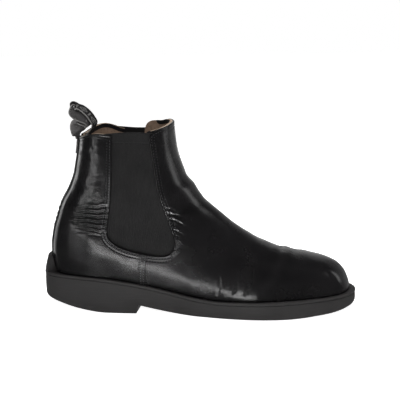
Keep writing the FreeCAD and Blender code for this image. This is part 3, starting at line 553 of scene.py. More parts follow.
    def inward(self, line, closed=True):
        """(du, dv) per mm, square to a run of (u, v) points and into the piece."""
        if closed:
            t = np.roll(line, -1, 0) - np.roll(line, 1, 0)
        else:
            t = np.gradient(line, axis=0)
        u, v = line[:, 0], line[:, 1]
        e = 1e-4
        Xu = (master(u + e, v) - master(u - e, v)) / (2 * e)
        va, vb = np.maximum(v - e, 0), v + e
        Xv = (master(u, vb) - master(u, va)) / (vb - va)[:, None]
        T = Xu * t[:, :1] + Xv * t[:, 1:]
        T /= np.maximum(1e-9, np.linalg.norm(T, axis=1, keepdims=True))
        N = np.cross(Xu, Xv)
        N /= np.maximum(1e-9, np.linalg.norm(N, axis=1, keepdims=True))
        D = np.cross(N, T) * self.sign
        a11, a12, a22 = (Xu * Xu).sum(1), (Xu * Xv).sum(1), (Xv * Xv).sum(1)
        b1, b2 = (Xu * D).sum(1), (Xv * D).sum(1)
        det = np.maximum(1e-9, a11 * a22 - a12 * a12)
        return np.stack([(a22 * b1 - a12 * b2) / det, (a11 * b2 - a12 * b1) / det], 1)

    def to_curve(self, *lines):
        pts = []
        for c in lines:
            X = master(c[:, 0], c[:, 1])
            d = np.concatenate([[0], np.cumsum(np.linalg.norm(np.diff(X, axis=0), axis=1))])
            g = np.arange(0, d[-1], 0.15)
            pts.append(np.stack([np.interp(g, d, X[:, k]) for k in range(3)], 1))
        return self.dist(self.X, self._tree(np.vstack(pts)))

    def build(self, name, t_out, t_in, disp=1.0, rows=(2.3, 5.0), rim=True, extra=None, rimd=None):
        h = leather_disp(self.uv[:, 0], self.uv[:, 1]) * disp if disp else np.zeros(len(self.uv))
        lift = edge_lift(self.d, rows) if rim else 0.0
        to = t_out(self) if callable(t_out) else t_out
        out = self.X + self.N * (to + h + lift + (extra(self) if extra else 0.0))[:, None]
        inn = self.X + self.N * (t_in + (0.8 * h if disp else 0.0) + 0.0 * self.d)[:, None]
        n = len(self.uv)
        faces = self.F.tolist() + (self.F[:, ::-1] + n).tolist()
        b = self.border
        faces += np.stack([b[:, 1], b[:, 0], b[:, 0] + n, b[:, 1] + n], 1).tolist()
        uv = np.vstack([self.uv * [6.0, 2.0]] * 2)
        two = lambda a: np.concatenate([a, a])
        # the fold height also colours the leather: painted shade in crease valleys, wear on fold tops
        return new_object(name, place(np.vstack([out, inn])), faces, uv,
                          {"edge": two(np.exp(-(self.d / 1.0) ** 2)), "fold": two(h),
                           "inner": np.concatenate([np.zeros(n), np.ones(n)]), "rimd": two(self.d if rimd is None else rimd)})


def uv_line(side_pts, outer, step=0.8, reverse=False, smoothit=True):
    p = polyline(side_pts, step, smoothit)
    q = to_uv(p, outer)
    return q[::-1] if reverse else q


def join(*lines):
    out = [lines[0]]
    for ln in lines[1:]:
        out.append(ln[1:])
    return np.vstack(out)


def straight(a, b, n=200):
    t = np.linspace(0, 1, n)[:, None]
    return np.asarray(a, float) * (1 - t) + np.asarray(b, float) * t


def bend(ob):
    """Bakes the object's transform into its mesh; the piece is not split at the ankle crease."""
    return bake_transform(ob)


def bend_gusset(ob):
    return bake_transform(ob)


B1, B0 = "boot", "shaft_front"
EPS = 1e-4


def foot(u0, u1, n=700):
    t = np.linspace(u0, u1, n)
    return np.stack([t, np.zeros_like(t)], 1)


# --------------------------------------------------------------------- outlines as (u, v) loops
TOP_BACK_M = [(71.8, 172.2), (66.0, 173.4), (60.0, 175.4), (54.0, 177.2), (48.0, 177.8), (42.0, 176.6), (37.0, 173.8), (33.0, 170.8), (30.0, 169.4)]


DZ_OUT, DZ_IN = -2.2, 1.6                          # how far each side of the front top edge is lifted


def raise_top(pts, dz):
    return [(x, z + dz * float(smooth((z - 168.0) / 12.0))) for x, z in pts]


def quarter_loop(outer):
    seam = uv_line(SEAM, outer)
    k = np.argmax(seam[:, 1] > 0.002)
    seam = np.vstack([[seam[k, 0], 0.0], seam[k:]])
    rear = uv_line(G_REAR if outer else G_REAR[:-1] + [(71.8, TOP_BACK_M[0][1])], outer)
    top = uv_line(TOP_BACK if outer else TOP_BACK_M, outer)
    u0 = 0.004 if outer else 0.996
    tb = top[-1]
    top2 = np.vstack([top, straight(tb, (u0, tb[1] - 0.001), 60)[1:]])
    base = foot(u0, seam[0, 0], 500)
    back = straight((u0, tb[1] - 0.001), (u0, 0.0), 200)
    return [(base, False), (seam, True), (rear, True), (top2, True), (back, False)]


def vamp_loop(lining=False):
    s1, s2 = uv_line(SEAM, True), uv_line(SEAM, False)
    k1, k2 = np.argmax(s1[:, 1] > 0.002), np.argmax(s2[:, 1] > 0.002)
    s1 = np.vstack([[s1[k1, 0], 0.0], s1[k1:]])
    s2 = np.vstack([[s2[k2, 0], 0.0], s2[k2:]])
    if lining:
        gl = [G_FRONT[0]] + [(x - 7.5 * float(smooth((z - 58.0) / 30.0)), z) for x, z in G_FRONT[1:]]
        cl = [(gl[-1][0], gl[-1][1]), (99.6, 171.0), (101.6, 175.6), (106.0, 178.6), (111.0, 179.4), (118.0, 181.0)]
        # the inner side keeps a wider wing of lining behind the elastic
        gm = [(x - 8.0 * float(smooth((z - 120.0) / 45.0)), z) for x, z in gl]
        cm = [(gm[-1][0], gm[-1][1]), (91.8, 171.6), (93.6, 176.2), (97.6, 178.6), (104.0, 179.2), (111.0, 179.4), (118.0, 181.0)]
        g1, g2 = join(uv_line(gl, True), uv_line(raise_top(cl, DZ_OUT), True)), join(uv_line(gm, False), uv_line(raise_top(cm, DZ_IN), False))
    else:
        g1 = join(uv_line(G_FRONT, True), uv_line(raise_top(CORNER, DZ_OUT), True))
        g2 = join(uv_line(G_FRONT, False), uv_line(raise_top(CORNER, DZ_IN), False))
    e1, e2 = g1[-1], g2[-1]
    # the top front line runs level round the front of the shaft
    n = 160
    t = np.linspace(0, 1, n)
    xs = lerp(118.0, 125.0, t)
    u, v = [], []
    uu = np.linspace(e1[0], e2[0], n)
    zt = lerp(181.0 + DZ_OUT, 181.0 + DZ_IN, np.linspace(0, 1, n)) + 1.4 * np.sin(np.pi * np.linspace(0, 1, n))
    lo, hi = np.zeros(n), np.ones(n)
    for _ in range(40):
        m = 0.5 * (lo + hi)
        z = master(uu, m)[:, 2]
        lo, hi = np.where(z < zt, m, lo), np.where(z < zt, hi, m)
    top = np.stack([uu, 0.5 * (lo + hi)], 1)
    top[0], top[-1] = e1, e2
    base = foot(s1[0, 0], s2[0, 0], 900)
    return [(base, False), (s2, False), (g2, True), (top[::-1], True), (g1[::-1], True), (s1[::-1], False)]


def gusset_panel(outer):
    L = polyline([(56.2, 66.0), (56.6, 84.0), (59.4, 103.0), (61.4, 130.0), (62.8, 152.0), (63.6, 174.4)], 0.6)
    R = polyline([(135.4, 58.6), (136.4, 70.0), (133.0, 84.0), (126.4, 103.5), (121.4, 122.0), (118.0, 142.0),
                  (115.4, 160.0), (114.8, 174.6)], 0.6)
    Bt = polyline([(56.2, 66.0), (64.0, 59.6), (77.0, 54.4), (96.0, 50.2), (115.0, 48.4), (128.0, 50.4), (135.4, 58.6)], 0.6)
    sag = 0.0 if outer else 1.8
    Tp = polyline([(63.6, 174.4), (80.0, 175.4 - sag), (98.0, 175.4 - sag), (114.8, 174.6)], 0.6)

    def f(c):
        d = np.concatenate([[0], np.cumsum(np.linalg.norm(np.diff(c, axis=0), axis=1))])
        d /= d[-1]
        return lambda t: np.stack([np.interp(t, d, c[:, 0]), np.interp(t, d, c[:, 1])], -1)
    na, nb = ((300, 74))
    bb = np.linspace(0, 1, nb)
    bb = np.unique(np.round(np.concatenate([bb[:-1], 1 - np.array([0.008, 0.004, 0.0015, 0.0]), np.linspace(0.908, 0.935, 14)]), 5))
    nb = len(bb)
    A, Bb = np.meshgrid(np.linspace(0, 1, na), bb, indexing="ij")
    P = coons(f(Bt), f(Tp), f(L), f(R), A, Bb)
    u, v = ring_for(P[..., 0], P[..., 1])
    if not outer:
        u = 1.0 - u
    X, N = master(u, v), normal(u, v)
    s = A * 44.0
    rib = 0.15 * np.cos(2 * np.pi * s) + 0.05 * noise(s * 0.6, Bb * 60.0)
    band = 0.30 * smooth((Bb - 0.924) / 0.006) - 0.22 * np.exp(-((Bb - 0.919) / 0.005) ** 2)
    slack = 0.5 * noise(A * 3.0 + 2, Bb * 4.0 + 3) * smooth(A * 5) * smooth((1 - A) * 5)
    rnd = -0.35 * smooth((Bb - 0.993) / 0.007)
    out = X + N * (G1 + rib + band + slack + rnd)[..., None]
    inn = X + N * (G0 - 0.6 * rib + slack - rnd)[..., None]
    uvm = np.stack([s / 44.0, Bb], -1)
    tag = "lateral" if outer else "medial"
    if not outer:
        out, inn, uvm = out[::-1], inn[::-1], uvm[::-1]
    ob = two_sided("elastic_" + tag, place(out), place(inn), uvm)
    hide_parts("gusset_" + tag)
    return bend_gusset(ob)


# --------------------------------------------------------------------- stitches
_cap = None


def stitch_mesh(name, P, T, N, length=1.75, r=0.24):
    """Thread stitches: short fat capsules lying in the surface."""
    k = 6
    ang = np.arange(k) * 2 * np.pi / k
    prof = [(-0.5, 0.25, -0.35), (-0.38, 0.8, -0.1), (-0.12, 1.0, 0.25), (0.12, 1.0, 0.25), (0.38, 0.8, -0.1), (0.5, 0.25, -0.35)]
    Bn = np.cross(N, T)
    ring = []
    for s, rr, lift in prof:
        c = P + T * (s * length) + N * (lift * r)
        ring.append(c[:, None, :] + r * rr * (np.cos(ang)[None, :, None] * Bn[:, None, :] + np.sin(ang)[None, :, None] * N[:, None, :]))
    V = np.stack(ring, 1)                       # n, 6 rings, k, 3
    n, m = V.shape[0], V.shape[1]
    faces = []
    base = np.arange(n)[:, None] * (m * k)
    for a in range(m - 1):
        for b in range(k):
            c = (b + 1) % k
            faces.append(base + np.array([[a * k + b, a * k + c, (a + 1) * k + c, (a + 1) * k + b]]))
    F = np.stack(faces, 1).reshape(-1, 4).tolist()
    capa = (base + np.arange(k)[::-1][None]).tolist()
    capb = (base + (m - 1) * k + np.arange(k)[None]).tolist()
    return new_object(name, place(V.reshape(-1, 3)), F + capa + capb)


def stitch_row(name, panel, line, d, t_out, pitch=2.7, lo=0.0, hi=1e9, disp=1.0, sink=0.02, length=1.75, r=0.24):
    """A row of stitches at d mm inside a panel's edge line (u, v)."""
    q = line + d * panel.inward(line, closed=False)
    X = master(q[:, 0], q[:, 1])
    ok = panel.dist(X, panel.kd) > 0.9 * d if panel.kd else np.ones(len(X), bool)
    q, X = q[ok], X[ok]
    s = np.concatenate([[0], np.cumsum(np.linalg.norm(np.diff(X, axis=0), axis=1))])
    at = np.arange(max(lo, pitch * 0.6), min(hi, s[-1] - 0.5 * pitch), pitch)
    u, v = np.interp(at, s, q[:, 0]), np.interp(at, s, q[:, 1])
    u2, v2 = np.interp(at + 0.2, s, q[:, 0]), np.interp(at + 0.2, s, q[:, 1])
    h = leather_disp(u, v) * disp
    N = normal(u, v)
    T = master(u2, v2) - master(u, v)
    T /= np.maximum(1e-9, np.linalg.norm(T, axis=1, keepdims=True))
    N = N - (N * T).sum(1, keepdims=True) * T
    N /= np.linalg.norm(N, axis=1, keepdims=True)
    P = master(u, v) + N * (t_out + h - 0.20 + sink)[:, None]
    return stitch_mesh(name, P, T, N, length, r)


# =====================================================================  materials
def mat_base(name):
    m = bpy.data.materials.new(name)
    m.use_nodes = True
    nt = m.node_tree
    nt.nodes.clear()
    out = nt.nodes.new("ShaderNodeOutputMaterial")
    b = nt.nodes.new("ShaderNodeBsdfPrincipled")
    nt.links.new(b.outputs[0], out.inputs[0])
    return m, nt, b


def nd(nt, kind, **vals):
    n = nt.nodes.new(kind)
    for k, v in vals.items():
        if k in n.inputs:
            n.inputs[k].default_value = v
        else:
            setattr(n, k, v)
    return n


def coord(nt):
    """Row-frame coordinates in metres, the same at every pose."""
    return nt.nodes.new("ShaderNodeTexCoord").outputs["Object"]


def ramp(nt, fac, stops):
    r = nt.nodes.new("ShaderNodeValToRGB")
    e = r.color_ramp.elements
    e[0].position, e[0].color = stops[0][0], tuple(stops[0][1]) + (1,)
    e[1].position, e[1].color = stops[-1][0], tuple(stops[-1][1]) + (1,)
    for p, c in stops[1:-1]:
        x = e.new(p)
        x.color = tuple(c) + (1,)
    nt.links.new(fac, r.inputs[0])
    return r.outputs[0]


def mrange(nt, val, a, b, c, d):
    m = nd(nt, "ShaderNodeMapRange")
    m.inputs[1].default_value, m.inputs[2].default_value = a, b
    m.inputs[3].default_value, m.inputs[4].default_value = c, d
    nt.links.new(val, m.inputs[0])
    return m.outputs[0]


def math_node(nt, op, a, b=None):
    m = nt.nodes.new("ShaderNodeMath")
    m.operation = op
    for k, x in enumerate((a, b)):
        if x is None:
            continue
        if isinstance(x, (int, float)):
            m.inputs[k].default_value = x
        else:
            nt.links.new(x, m.inputs[k])
    return m.outputs[0]


def mixc(nt, fac, a, b, mode="MIX"):
    m = nt.nodes.new("ShaderNodeMix")
    m.data_type = "RGBA"
    m.blend_type = mode
    for key, x in ((0, fac), (6, a), (7, b)):
        if isinstance(x, (int, float)):
            m.inputs[key].default_value = x
        elif isinstance(x, (tuple, list)):
            m.inputs[key].default_value = tuple(x) + (1,)
        else:
            nt.links.new(x, m.inputs[key])
    return m.outputs[2]


def attr(nt, name):
    a = nt.nodes.new("ShaderNodeAttribute")
    a.attribute_name = name
    return a.outputs["Fac"]


def bump_chain(nt, b, parts):
    """parts: [(height socket, strength, distance)]; each bump feeds the next."""
    last = None
    for h, st, di in parts:
        n = nt.nodes.new("ShaderNodeBump")
        n.inputs["Strength"].default_value = st
        n.inputs["Distance"].default_value = di
        nt.links.new(h, n.inputs["Height"])
        if last is not None:
            nt.links.new(last, n.inputs["Normal"])
        last = n.outputs[0]
    nt.links.new(last, b.inputs["Normal"])


def leather(name, dark, light, rough=(0.30, 0.46), grain=1.0, coat=0.15, edge_col=None, spec=0.5):
    m, nt, b = mat_base(name)
    co = coord(nt)
    n1 = nd(nt, "ShaderNodeTexNoise", Scale=34.0, Detail=5.0, Roughness=0.6)
    n2 = nd(nt, "ShaderNodeTexNoise", Scale=420.0, Detail=3.0, Roughness=0.6)
    vo = nd(nt, "ShaderNodeTexVoronoi", Scale=1500.0)
    vo2 = nd(nt, "ShaderNodeTexVoronoi", Scale=620.0)
    for n in (n1, n2, vo, vo2):
        nt.links.new(co, n.inputs["Vector"])
    c = ramp(nt, n1.outputs[0], [(0.3, dark), (0.7, light)])
    pores = mrange(nt, n2.outputs[0], 0.30, 0.48, 0.0, 1.0)
    c = mixc(nt, pores, tuple(x * 0.72 for x in dark), c)
    # crease valleys darkened in the colour are painted shade; fold tops lightened are wear on the ridges
    fold = mrange(nt, attr(nt, "fold"), -0.8, 0.9, 0.0, 1.0)
    c = mixc(nt, fold, mixc(nt, 0.45, c, (0.003, 0.003, 0.003)), mixc(nt, 0.22, c, tuple(min(1, x * 2.0 + 0.004) for x in light)))
    if edge_col:
        face = mrange(nt, attr(nt, "rimd"), 4.1, 4.5, 1.0, 0.0)
        c = mixc(nt, face, c, (0.010, 0.0095, 0.010))
        rim = mrange(nt, attr(nt, "rimd"), 0.10, 0.30, 1.0, 0.0)
        c = mixc(nt, rim, c, edge_col)
    nt.links.new(c, b.inputs["Base Color"])
    r = mrange(nt, n1.outputs[0], 0.25, 0.75, rough[0], rough[1])
    nt.links.new(r, b.inputs["Roughness"])
    b.inputs["Specular IOR Level"].default_value = spec
    b.inputs["Coat Weight"].default_value = coat
    b.inputs["Coat Roughness"].default_value = 0.22
    bump_chain(nt, b, [(vo.outputs["Distance"], 0.20 * grain, 0.00010), (vo2.outputs["Distance"], 0.12 * grain, 0.00016),
                       (n2.outputs[0], 0.16 * grain, 0.00025)])
    return m


def elastic_mat():
    m, nt, b = mat_base("woven_elastic")
    co = coord(nt)
    uvn = nt.nodes.new("ShaderNodeUVMap")
    sep = nt.nodes.new("ShaderNodeSeparateXYZ")
    nt.links.new(uvn.outputs[0], sep.inputs[0])
    wx = math_node(nt, "SINE", math_node(nt, "MULTIPLY", sep.outputs[0], 2 * math.pi * 44))
    wy = math_node(nt, "SINE", math_node(nt, "MULTIPLY", sep.outputs[1], 2 * math.pi * 118))
    knit = math_node(nt, "MULTIPLY", wx, wy)
    n1 = nd(nt, "ShaderNodeTexNoise", Scale=60.0, Detail=4.0)
    n2 = nd(nt, "ShaderNodeTexNoise", Scale=1600.0, Detail=2.0)
    for n in (n1, n2):
        nt.links.new(co, n.inputs["Vector"])
    c = ramp(nt, n1.outputs[0], [(0.3, (0.0115, 0.0112, 0.0115)), (0.7, (0.017, 0.0165, 0.0165))])
    c = mixc(nt, mrange(nt, knit, -1, 1, 0.0, 0.55), c, (0.0045, 0.0045, 0.0048))
    c = mixc(nt, mrange(nt, n2.outputs[0], 0.58, 0.72, 0.0, 0.35), c, (0.05, 0.05, 0.052))
    nt.links.new(c, b.inputs["Base Color"])
    b.inputs["Roughness"].default_value = 0.92
    b.inputs["Specular IOR Level"].default_value = 0.22
    b.inputs["Sheen Weight"].default_value = 0.10
    b.inputs["Sheen Roughness"].default_value = 0.5
    bump_chain(nt, b, [(knit, 0.5, 0.00018), (n2.outputs[0], 0.35, 0.00015)])
    return m


def rubber_mat(name, dark, light, rough=0.68, streak=1.0):
    m, nt, b = mat_base(name)
    co = coord(nt)
    n1 = nd(nt, "ShaderNodeTexNoise", Scale=26.0, Detail=6.0, Roughness=0.65)
    n2 = nd(nt, "ShaderNodeTexNoise", Scale=900.0, Detail=2.0)
    mp = nt.nodes.new("ShaderNodeMapping")
    mp.inputs["Scale"].default_value = (1.0, 1.0, 26.0)
    nt.links.new(co, mp.inputs[0])
    n3 = nd(nt, "ShaderNodeTexNoise", Scale=42.0, Detail=5.0, Roughness=0.6)
    nt.links.new(mp.outputs[0], n3.inputs["Vector"])
    nt.links.new(co, n1.inputs["Vector"])
    nt.links.new(co, n2.inputs["Vector"])
    c = ramp(nt, n1.outputs[0], [(0.3, dark), (0.72, light)])
    c = mixc(nt, mrange(nt, n3.outputs[0], 0.52, 0.72, 0.0, 0.28 * streak), c, tuple(x * 1.5 for x in light))
    nt.links.new(c, b.inputs["Base Color"])
    nt.links.new(mrange(nt, n1.outputs[0], 0.3, 0.7, rough - 0.07, rough + 0.07), b.inputs["Roughness"])
    b.inputs["Specular IOR Level"].default_value = 0.38
    bump_chain(nt, b, [(n2.outputs[0], 0.30, 0.00012), (n3.outputs[0], 0.10 * streak, 0.0004)])
    return m


def plain_mat(name, dark, light, rough, scale=60.0, metal=0.0, fibre=0.0):
    m, nt, b = mat_base(name)
    co = coord(nt)
    n1 = nd(nt, "ShaderNodeTexNoise", Scale=scale, Detail=6.0, Roughness=0.65)
    n2 = nd(nt, "ShaderNodeTexNoise", Scale=scale * 18, Detail=3.0)
    nt.links.new(co, n1.inputs["Vector"])
    nt.links.new(co, n2.inputs["Vector"])
    c = ramp(nt, n1.outputs[0], [(0.3, dark), (0.7, light)])
    c = mixc(nt, mrange(nt, n2.outputs[0], 0.3, 0.55, 0.35, 0.0), c, tuple(x * 0.55 for x in dark))
    nt.links.new(c, b.inputs["Base Color"])
    nt.links.new(mrange(nt, n2.outputs[0], 0.3, 0.7, rough - 0.08, rough + 0.06), b.inputs["Roughness"])
    b.inputs["Metallic"].default_value = metal
    b.inputs["Specular IOR Level"].default_value = 0.3
    bump_chain(nt, b, [(n2.outputs[0], 0.4, 0.0002), (n1.outputs[0], 0.15, 0.0006)])
    return m


def ribbon_mat():
    m, nt, b = mat_base("woven_ribbon")
    uvn = nt.nodes.new("ShaderNodeUVMap")
    sep = nt.nodes.new("ShaderNodeSeparateXYZ")
    nt.links.new(uvn.outputs[0], sep.inputs[0])
    x, y = sep.outputs[0], sep.outputs[1]                 # x across 0..1, y along in ribbon widths
    yc = math_node(nt, "FRACT", math_node(nt, "MULTIPLY", y, 1.15))
    dx = math_node(nt, "ABSOLUTE", math_node(nt, "SUBTRACT", x, 0.5))
    dy = math_node(nt, "ABSOLUTE", math_node(nt, "SUBTRACT", yc, 0.5))
    dia = math_node(nt, "ADD", math_node(nt, "MULTIPLY", dx, 2.6), math_node(nt, "MULTIPLY", dy, 2.2))
    ring = math_node(nt, "LESS_THAN", math_node(nt, "ABSOLUTE", math_node(nt, "SUBTRACT", dia, 0.62)), 0.13)
    core = math_node(nt, "LESS_THAN", dia, 0.22)
    bar = math_node(nt, "MULTIPLY", math_node(nt, "GREATER_THAN", dy, 0.44), math_node(nt, "LESS_THAN", dx, 0.22))
    motif = math_node(nt, "MINIMUM", math_node(nt, "ADD", math_node(nt, "ADD", ring, core), bar), 1.0)
    selv = math_node(nt, "GREATER_THAN", dx, 0.435)
    wx = math_node(nt, "SINE", math_node(nt, "MULTIPLY", x, 2 * math.pi * 24))
    wy = math_node(nt, "SINE", math_node(nt, "MULTIPLY", y, 2 * math.pi * 26))
    weave = math_node(nt, "MULTIPLY", wx, wy)
    n1 = nd(nt, "ShaderNodeTexNoise", Scale=700.0, Detail=3.0)
    nt.links.new(coord(nt), n1.inputs["Vector"])
    c = mixc(nt, mrange(nt, n1.outputs[0], 0.3, 0.7, 0, 1), (0.005, 0.0047, 0.0052), (0.011, 0.0103, 0.011))
    c = mixc(nt, math_node(nt, "MULTIPLY", motif, 0.8), c, (0.20, 0.195, 0.19))
    # pale back of the tape: partly the weave's own paler reverse, partly painted light lifting its shaded inner face
    c = mixc(nt, attr(nt, "under"), c, (0.15, 0.145, 0.146))
    c = mixc(nt, math_node(nt, "MULTIPLY", selv, 0.92), c, (0.24, 0.235, 0.23))
    c = mixc(nt, mrange(nt, weave, -1, 1, 0.35, 0.0), c, (0.004, 0.004, 0.004))
    nt.links.new(c, b.inputs["Base Color"])
    b.inputs["Roughness"].default_value = 0.8
    b.inputs["Specular IOR Level"].default_value = 0.25
    b.inputs["Sheen Weight"].default_value = 0.03
    bump_chain(nt, b, [(weave, 0.6, 0.00015)])
    return m


def thread_mat(name, col):
    m, nt, b = mat_base(name)
    n1 = nd(nt, "ShaderNodeTexNoise", Scale=2600.0, Detail=2.0)
    nt.links.new(coord(nt), n1.inputs["Vector"])
    c = mixc(nt, mrange(nt, n1.outputs[0], 0.35, 0.65, 0, 1), tuple(x * 0.55 for x in col), col)
    nt.links.new(c, b.inputs["Base Color"])
    b.inputs["Roughness"].default_value = 0.55
    bump_chain(nt, b, [(n1.outputs[0], 0.5, 0.00008)])
    return m


M_VAMP = leather("leather_vamp", (0.0060, 0.0056, 0.0062), (0.0095, 0.0089, 0.0094), rough=(0.22, 0.30), coat=0.0, spec=0.5)
M_QTR = leather("leather_quarter", (0.0060, 0.0058, 0.0063), (0.0098, 0.0095, 0.0098), rough=(0.20, 0.27), coat=0.0, spec=0.5)
M_STAY = leather("leather_backstay", (0.0058, 0.0056, 0.0060), (0.0092, 0.0090, 0.0093), rough=(0.25, 0.34), coat=0.0, spec=0.5)
M_LIN = leather("leather_lining", (0.215, 0.145, 0.100), (0.320, 0.225, 0.165), rough=(0.58, 0.74), grain=0.8, coat=0.0,
                edge_col=(0.42, 0.32, 0.24), spec=0.3)
M_ELA = elastic_mat()
M_SOLE = rubber_mat("rubber_outsole", (0.024, 0.0225, 0.0225), (0.034, 0.0325, 0.0325))
M_WELT = rubber_mat("rubber_welt", (0.020, 0.019, 0.0195), (0.030, 0.0285, 0.029), rough=0.60, streak=0.6)
M_SOCK = plain_mat("sock_liner", (0.030, 0.026, 0.022), (0.052, 0.044, 0.036), 0.82, 90.0)
M_BOARD = plain_mat("fibre_board", (0.30, 0.22, 0.14), (0.42, 0.32, 0.21), 0.85, 70.0)
M_CORK = plain_mat("cork_filler", (0.28, 0.17, 0.09), (0.46, 0.30, 0.17), 0.88, 130.0)
M_STEEL = plain_mat("steel_shank", (0.35, 0.36, 0.38), (0.50, 0.51, 0.53), 0.36, 40.0, metal=1.0)
M_STIFF = plain_mat("stiffener_board", (0.20, 0.17, 0.13), (0.30, 0.26, 0.20), 0.85, 80.0)
M_RIB = ribbon_mat()
M_THR = thread_mat("thread", (0.050, 0.050, 0.053))
M_THR2 = thread_mat("thread_dark", (0.022, 0.022, 0.024))


def dress(ob, mat):
    ob.data.materials.clear()
    ob.data.materials.append(mat)
    return ob


# =====================================================================  the upper
PANELS = {}
for outer, tag in ((True, "lateral"), (False, "medial")):
    pn = Panel(quarter_loop(outer))
    PANELS[tag] = pn
    ob = dress(pn.build("leather_quarter_" + tag, 0.0, T0), M_QTR)
    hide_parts("quarter_" + tag)
    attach(ob, B1)
    ob = dress(gusset_panel(outer), M_ELA)

vp = Panel(vamp_loop())
PANELS["vamp"] = vp
ob = dress(vp.build("leather_vamp", 0.0, T0), M_VAMP)
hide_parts("vamp", "vamp_shaft")
bend(ob)


def lining_out(dtop, front):
    """Lining offset: it closes on the outer leather along the top edge, clear of the elastic."""
    def f(p):
        x = p.X[:, 0]
        free = smooth((x - 117.0) / 5.0) if front else smooth((58.0 - x) / 5.0)
        return lerp(L1, T0 - 0.02, (1.0 - smooth((dtop - 0.5) / 4.5)) * free)
    return f


LSTEP = 2.6
LEDGE = [0.15, 0.32, 0.5, 1.2, 2.4, 3.4, 3.9, 4.15, 4.45, 4.8, 5.4, 6.2]
for outer, tag in ((True, "lateral"), (False, "medial")):
    pn = Panel(quarter_loop(outer), step=LSTEP, edge_rows=LEDGE)
    dtop = pn.to_curve(pn.curves[3][0])
    ob = dress(pn.build("lining_quarter_" + tag, lining_out(dtop, False), L0, disp=0.0, rows=(), rimd=dtop), M_LIN)
    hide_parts("quarter_lining_" + tag)
    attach(ob, B1)
pn = Panel(vamp_loop(True), step=LSTEP, edge_rows=LEDGE)
dtop = pn.to_curve(pn.curves[3][0], pn.curves[2][0][-14:], pn.curves[4][0][:14])
ob = dress(pn.build("lining_vamp", lining_out(dtop, True), L0, disp=0.0, rows=(), rimd=dtop), M_LIN)
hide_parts("vamp_lining", "vamp_shaft_lining")
bend(ob)

# --------------------------------------------------------------------- stitching on the upper
for outer, tag in ((True, "lateral"), (False, "medial")):
    pn = PANELS[tag]
    rear, top = pn.curves[2][0], pn.curves[3][0]
    for k, dd in enumerate((2.3, 5.0)):
        ob = dress(stitch_row("stitch_%s_gusset_rear_%d" % (tag, k), pn, rear, dd, 0.0, lo=2.0), M_THR if k == 0 else M_THR2)
        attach(ob, B1)
    ob = dress(stitch_row("stitch_%s_topline" % tag, pn, top, 2.3, 0.0, lo=2.5), M_THR2)
    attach(ob, B1)
    cur = vp.curves[4][0] if outer else vp.curves[2][0]
    for k, dd in enumerate((2.3, 5.0)):
        ob = dress(stitch_row("stitch_%s_gusset_front_%d" % (tag, k), vp, cur, dd, 0.0, lo=2.0), M_THR if k == 0 else M_THR2)
        bend(ob)
ob = dress(stitch_row("stitch_front_topline", vp, vp.curves[3][0], 2.3, 0.0, lo=1.0), M_THR2)
bend(ob)


# --------------------------------------------------------------------- strips sewn over the seams
_vt = np.linspace(0.0, 1.0, 241)
_ut = np.linspace(0.0, 0.22, 241)
_U, _V = np.meshgrid(_ut, _vt)
_arcL = np.concatenate([np.zeros((241, 1)), np.cumsum(np.linalg.norm(np.diff(master(_U, _V), axis=1), axis=2), 1)], 1)
_arcM = np.concatenate([np.zeros((241, 1)), np.cumsum(np.linalg.norm(np.diff(master(1.0 - _U, _V), axis=1), axis=2), 1)], 1)


def back_uv(s, v):
    """(u, v) at signed arc distance s (positive to the outer side) from the back line at ring v."""
    s, v = np.broadcast_arrays(np.asarray(s, float), np.asarray(v, float))
    r = np.clip(v, 0, 1) * 240
    i = np.minimum(r.astype(int), 239)
    f = r - i
    out = np.zeros(s.shape)
    it = np.nditer(s, flags=["multi_index"])
    for val in it:
        k = it.multi_index
        tab = _arcL if val >= 0 else _arcM
        a = np.interp(abs(float(val)), tab[i[k]], _ut)
        b = np.interp(abs(float(val)), tab[i[k] + 1], _ut)
        w = a + (b - a) * f[k]
        out[k] = w if val >= 0 else -w
    return out


STRAP = Spline([(0.0, 6.0), (0.12, 6.2), (0.35, 8.2), (0.6, 11.0), (0.8, 13.4), (0.93, 14.0)])


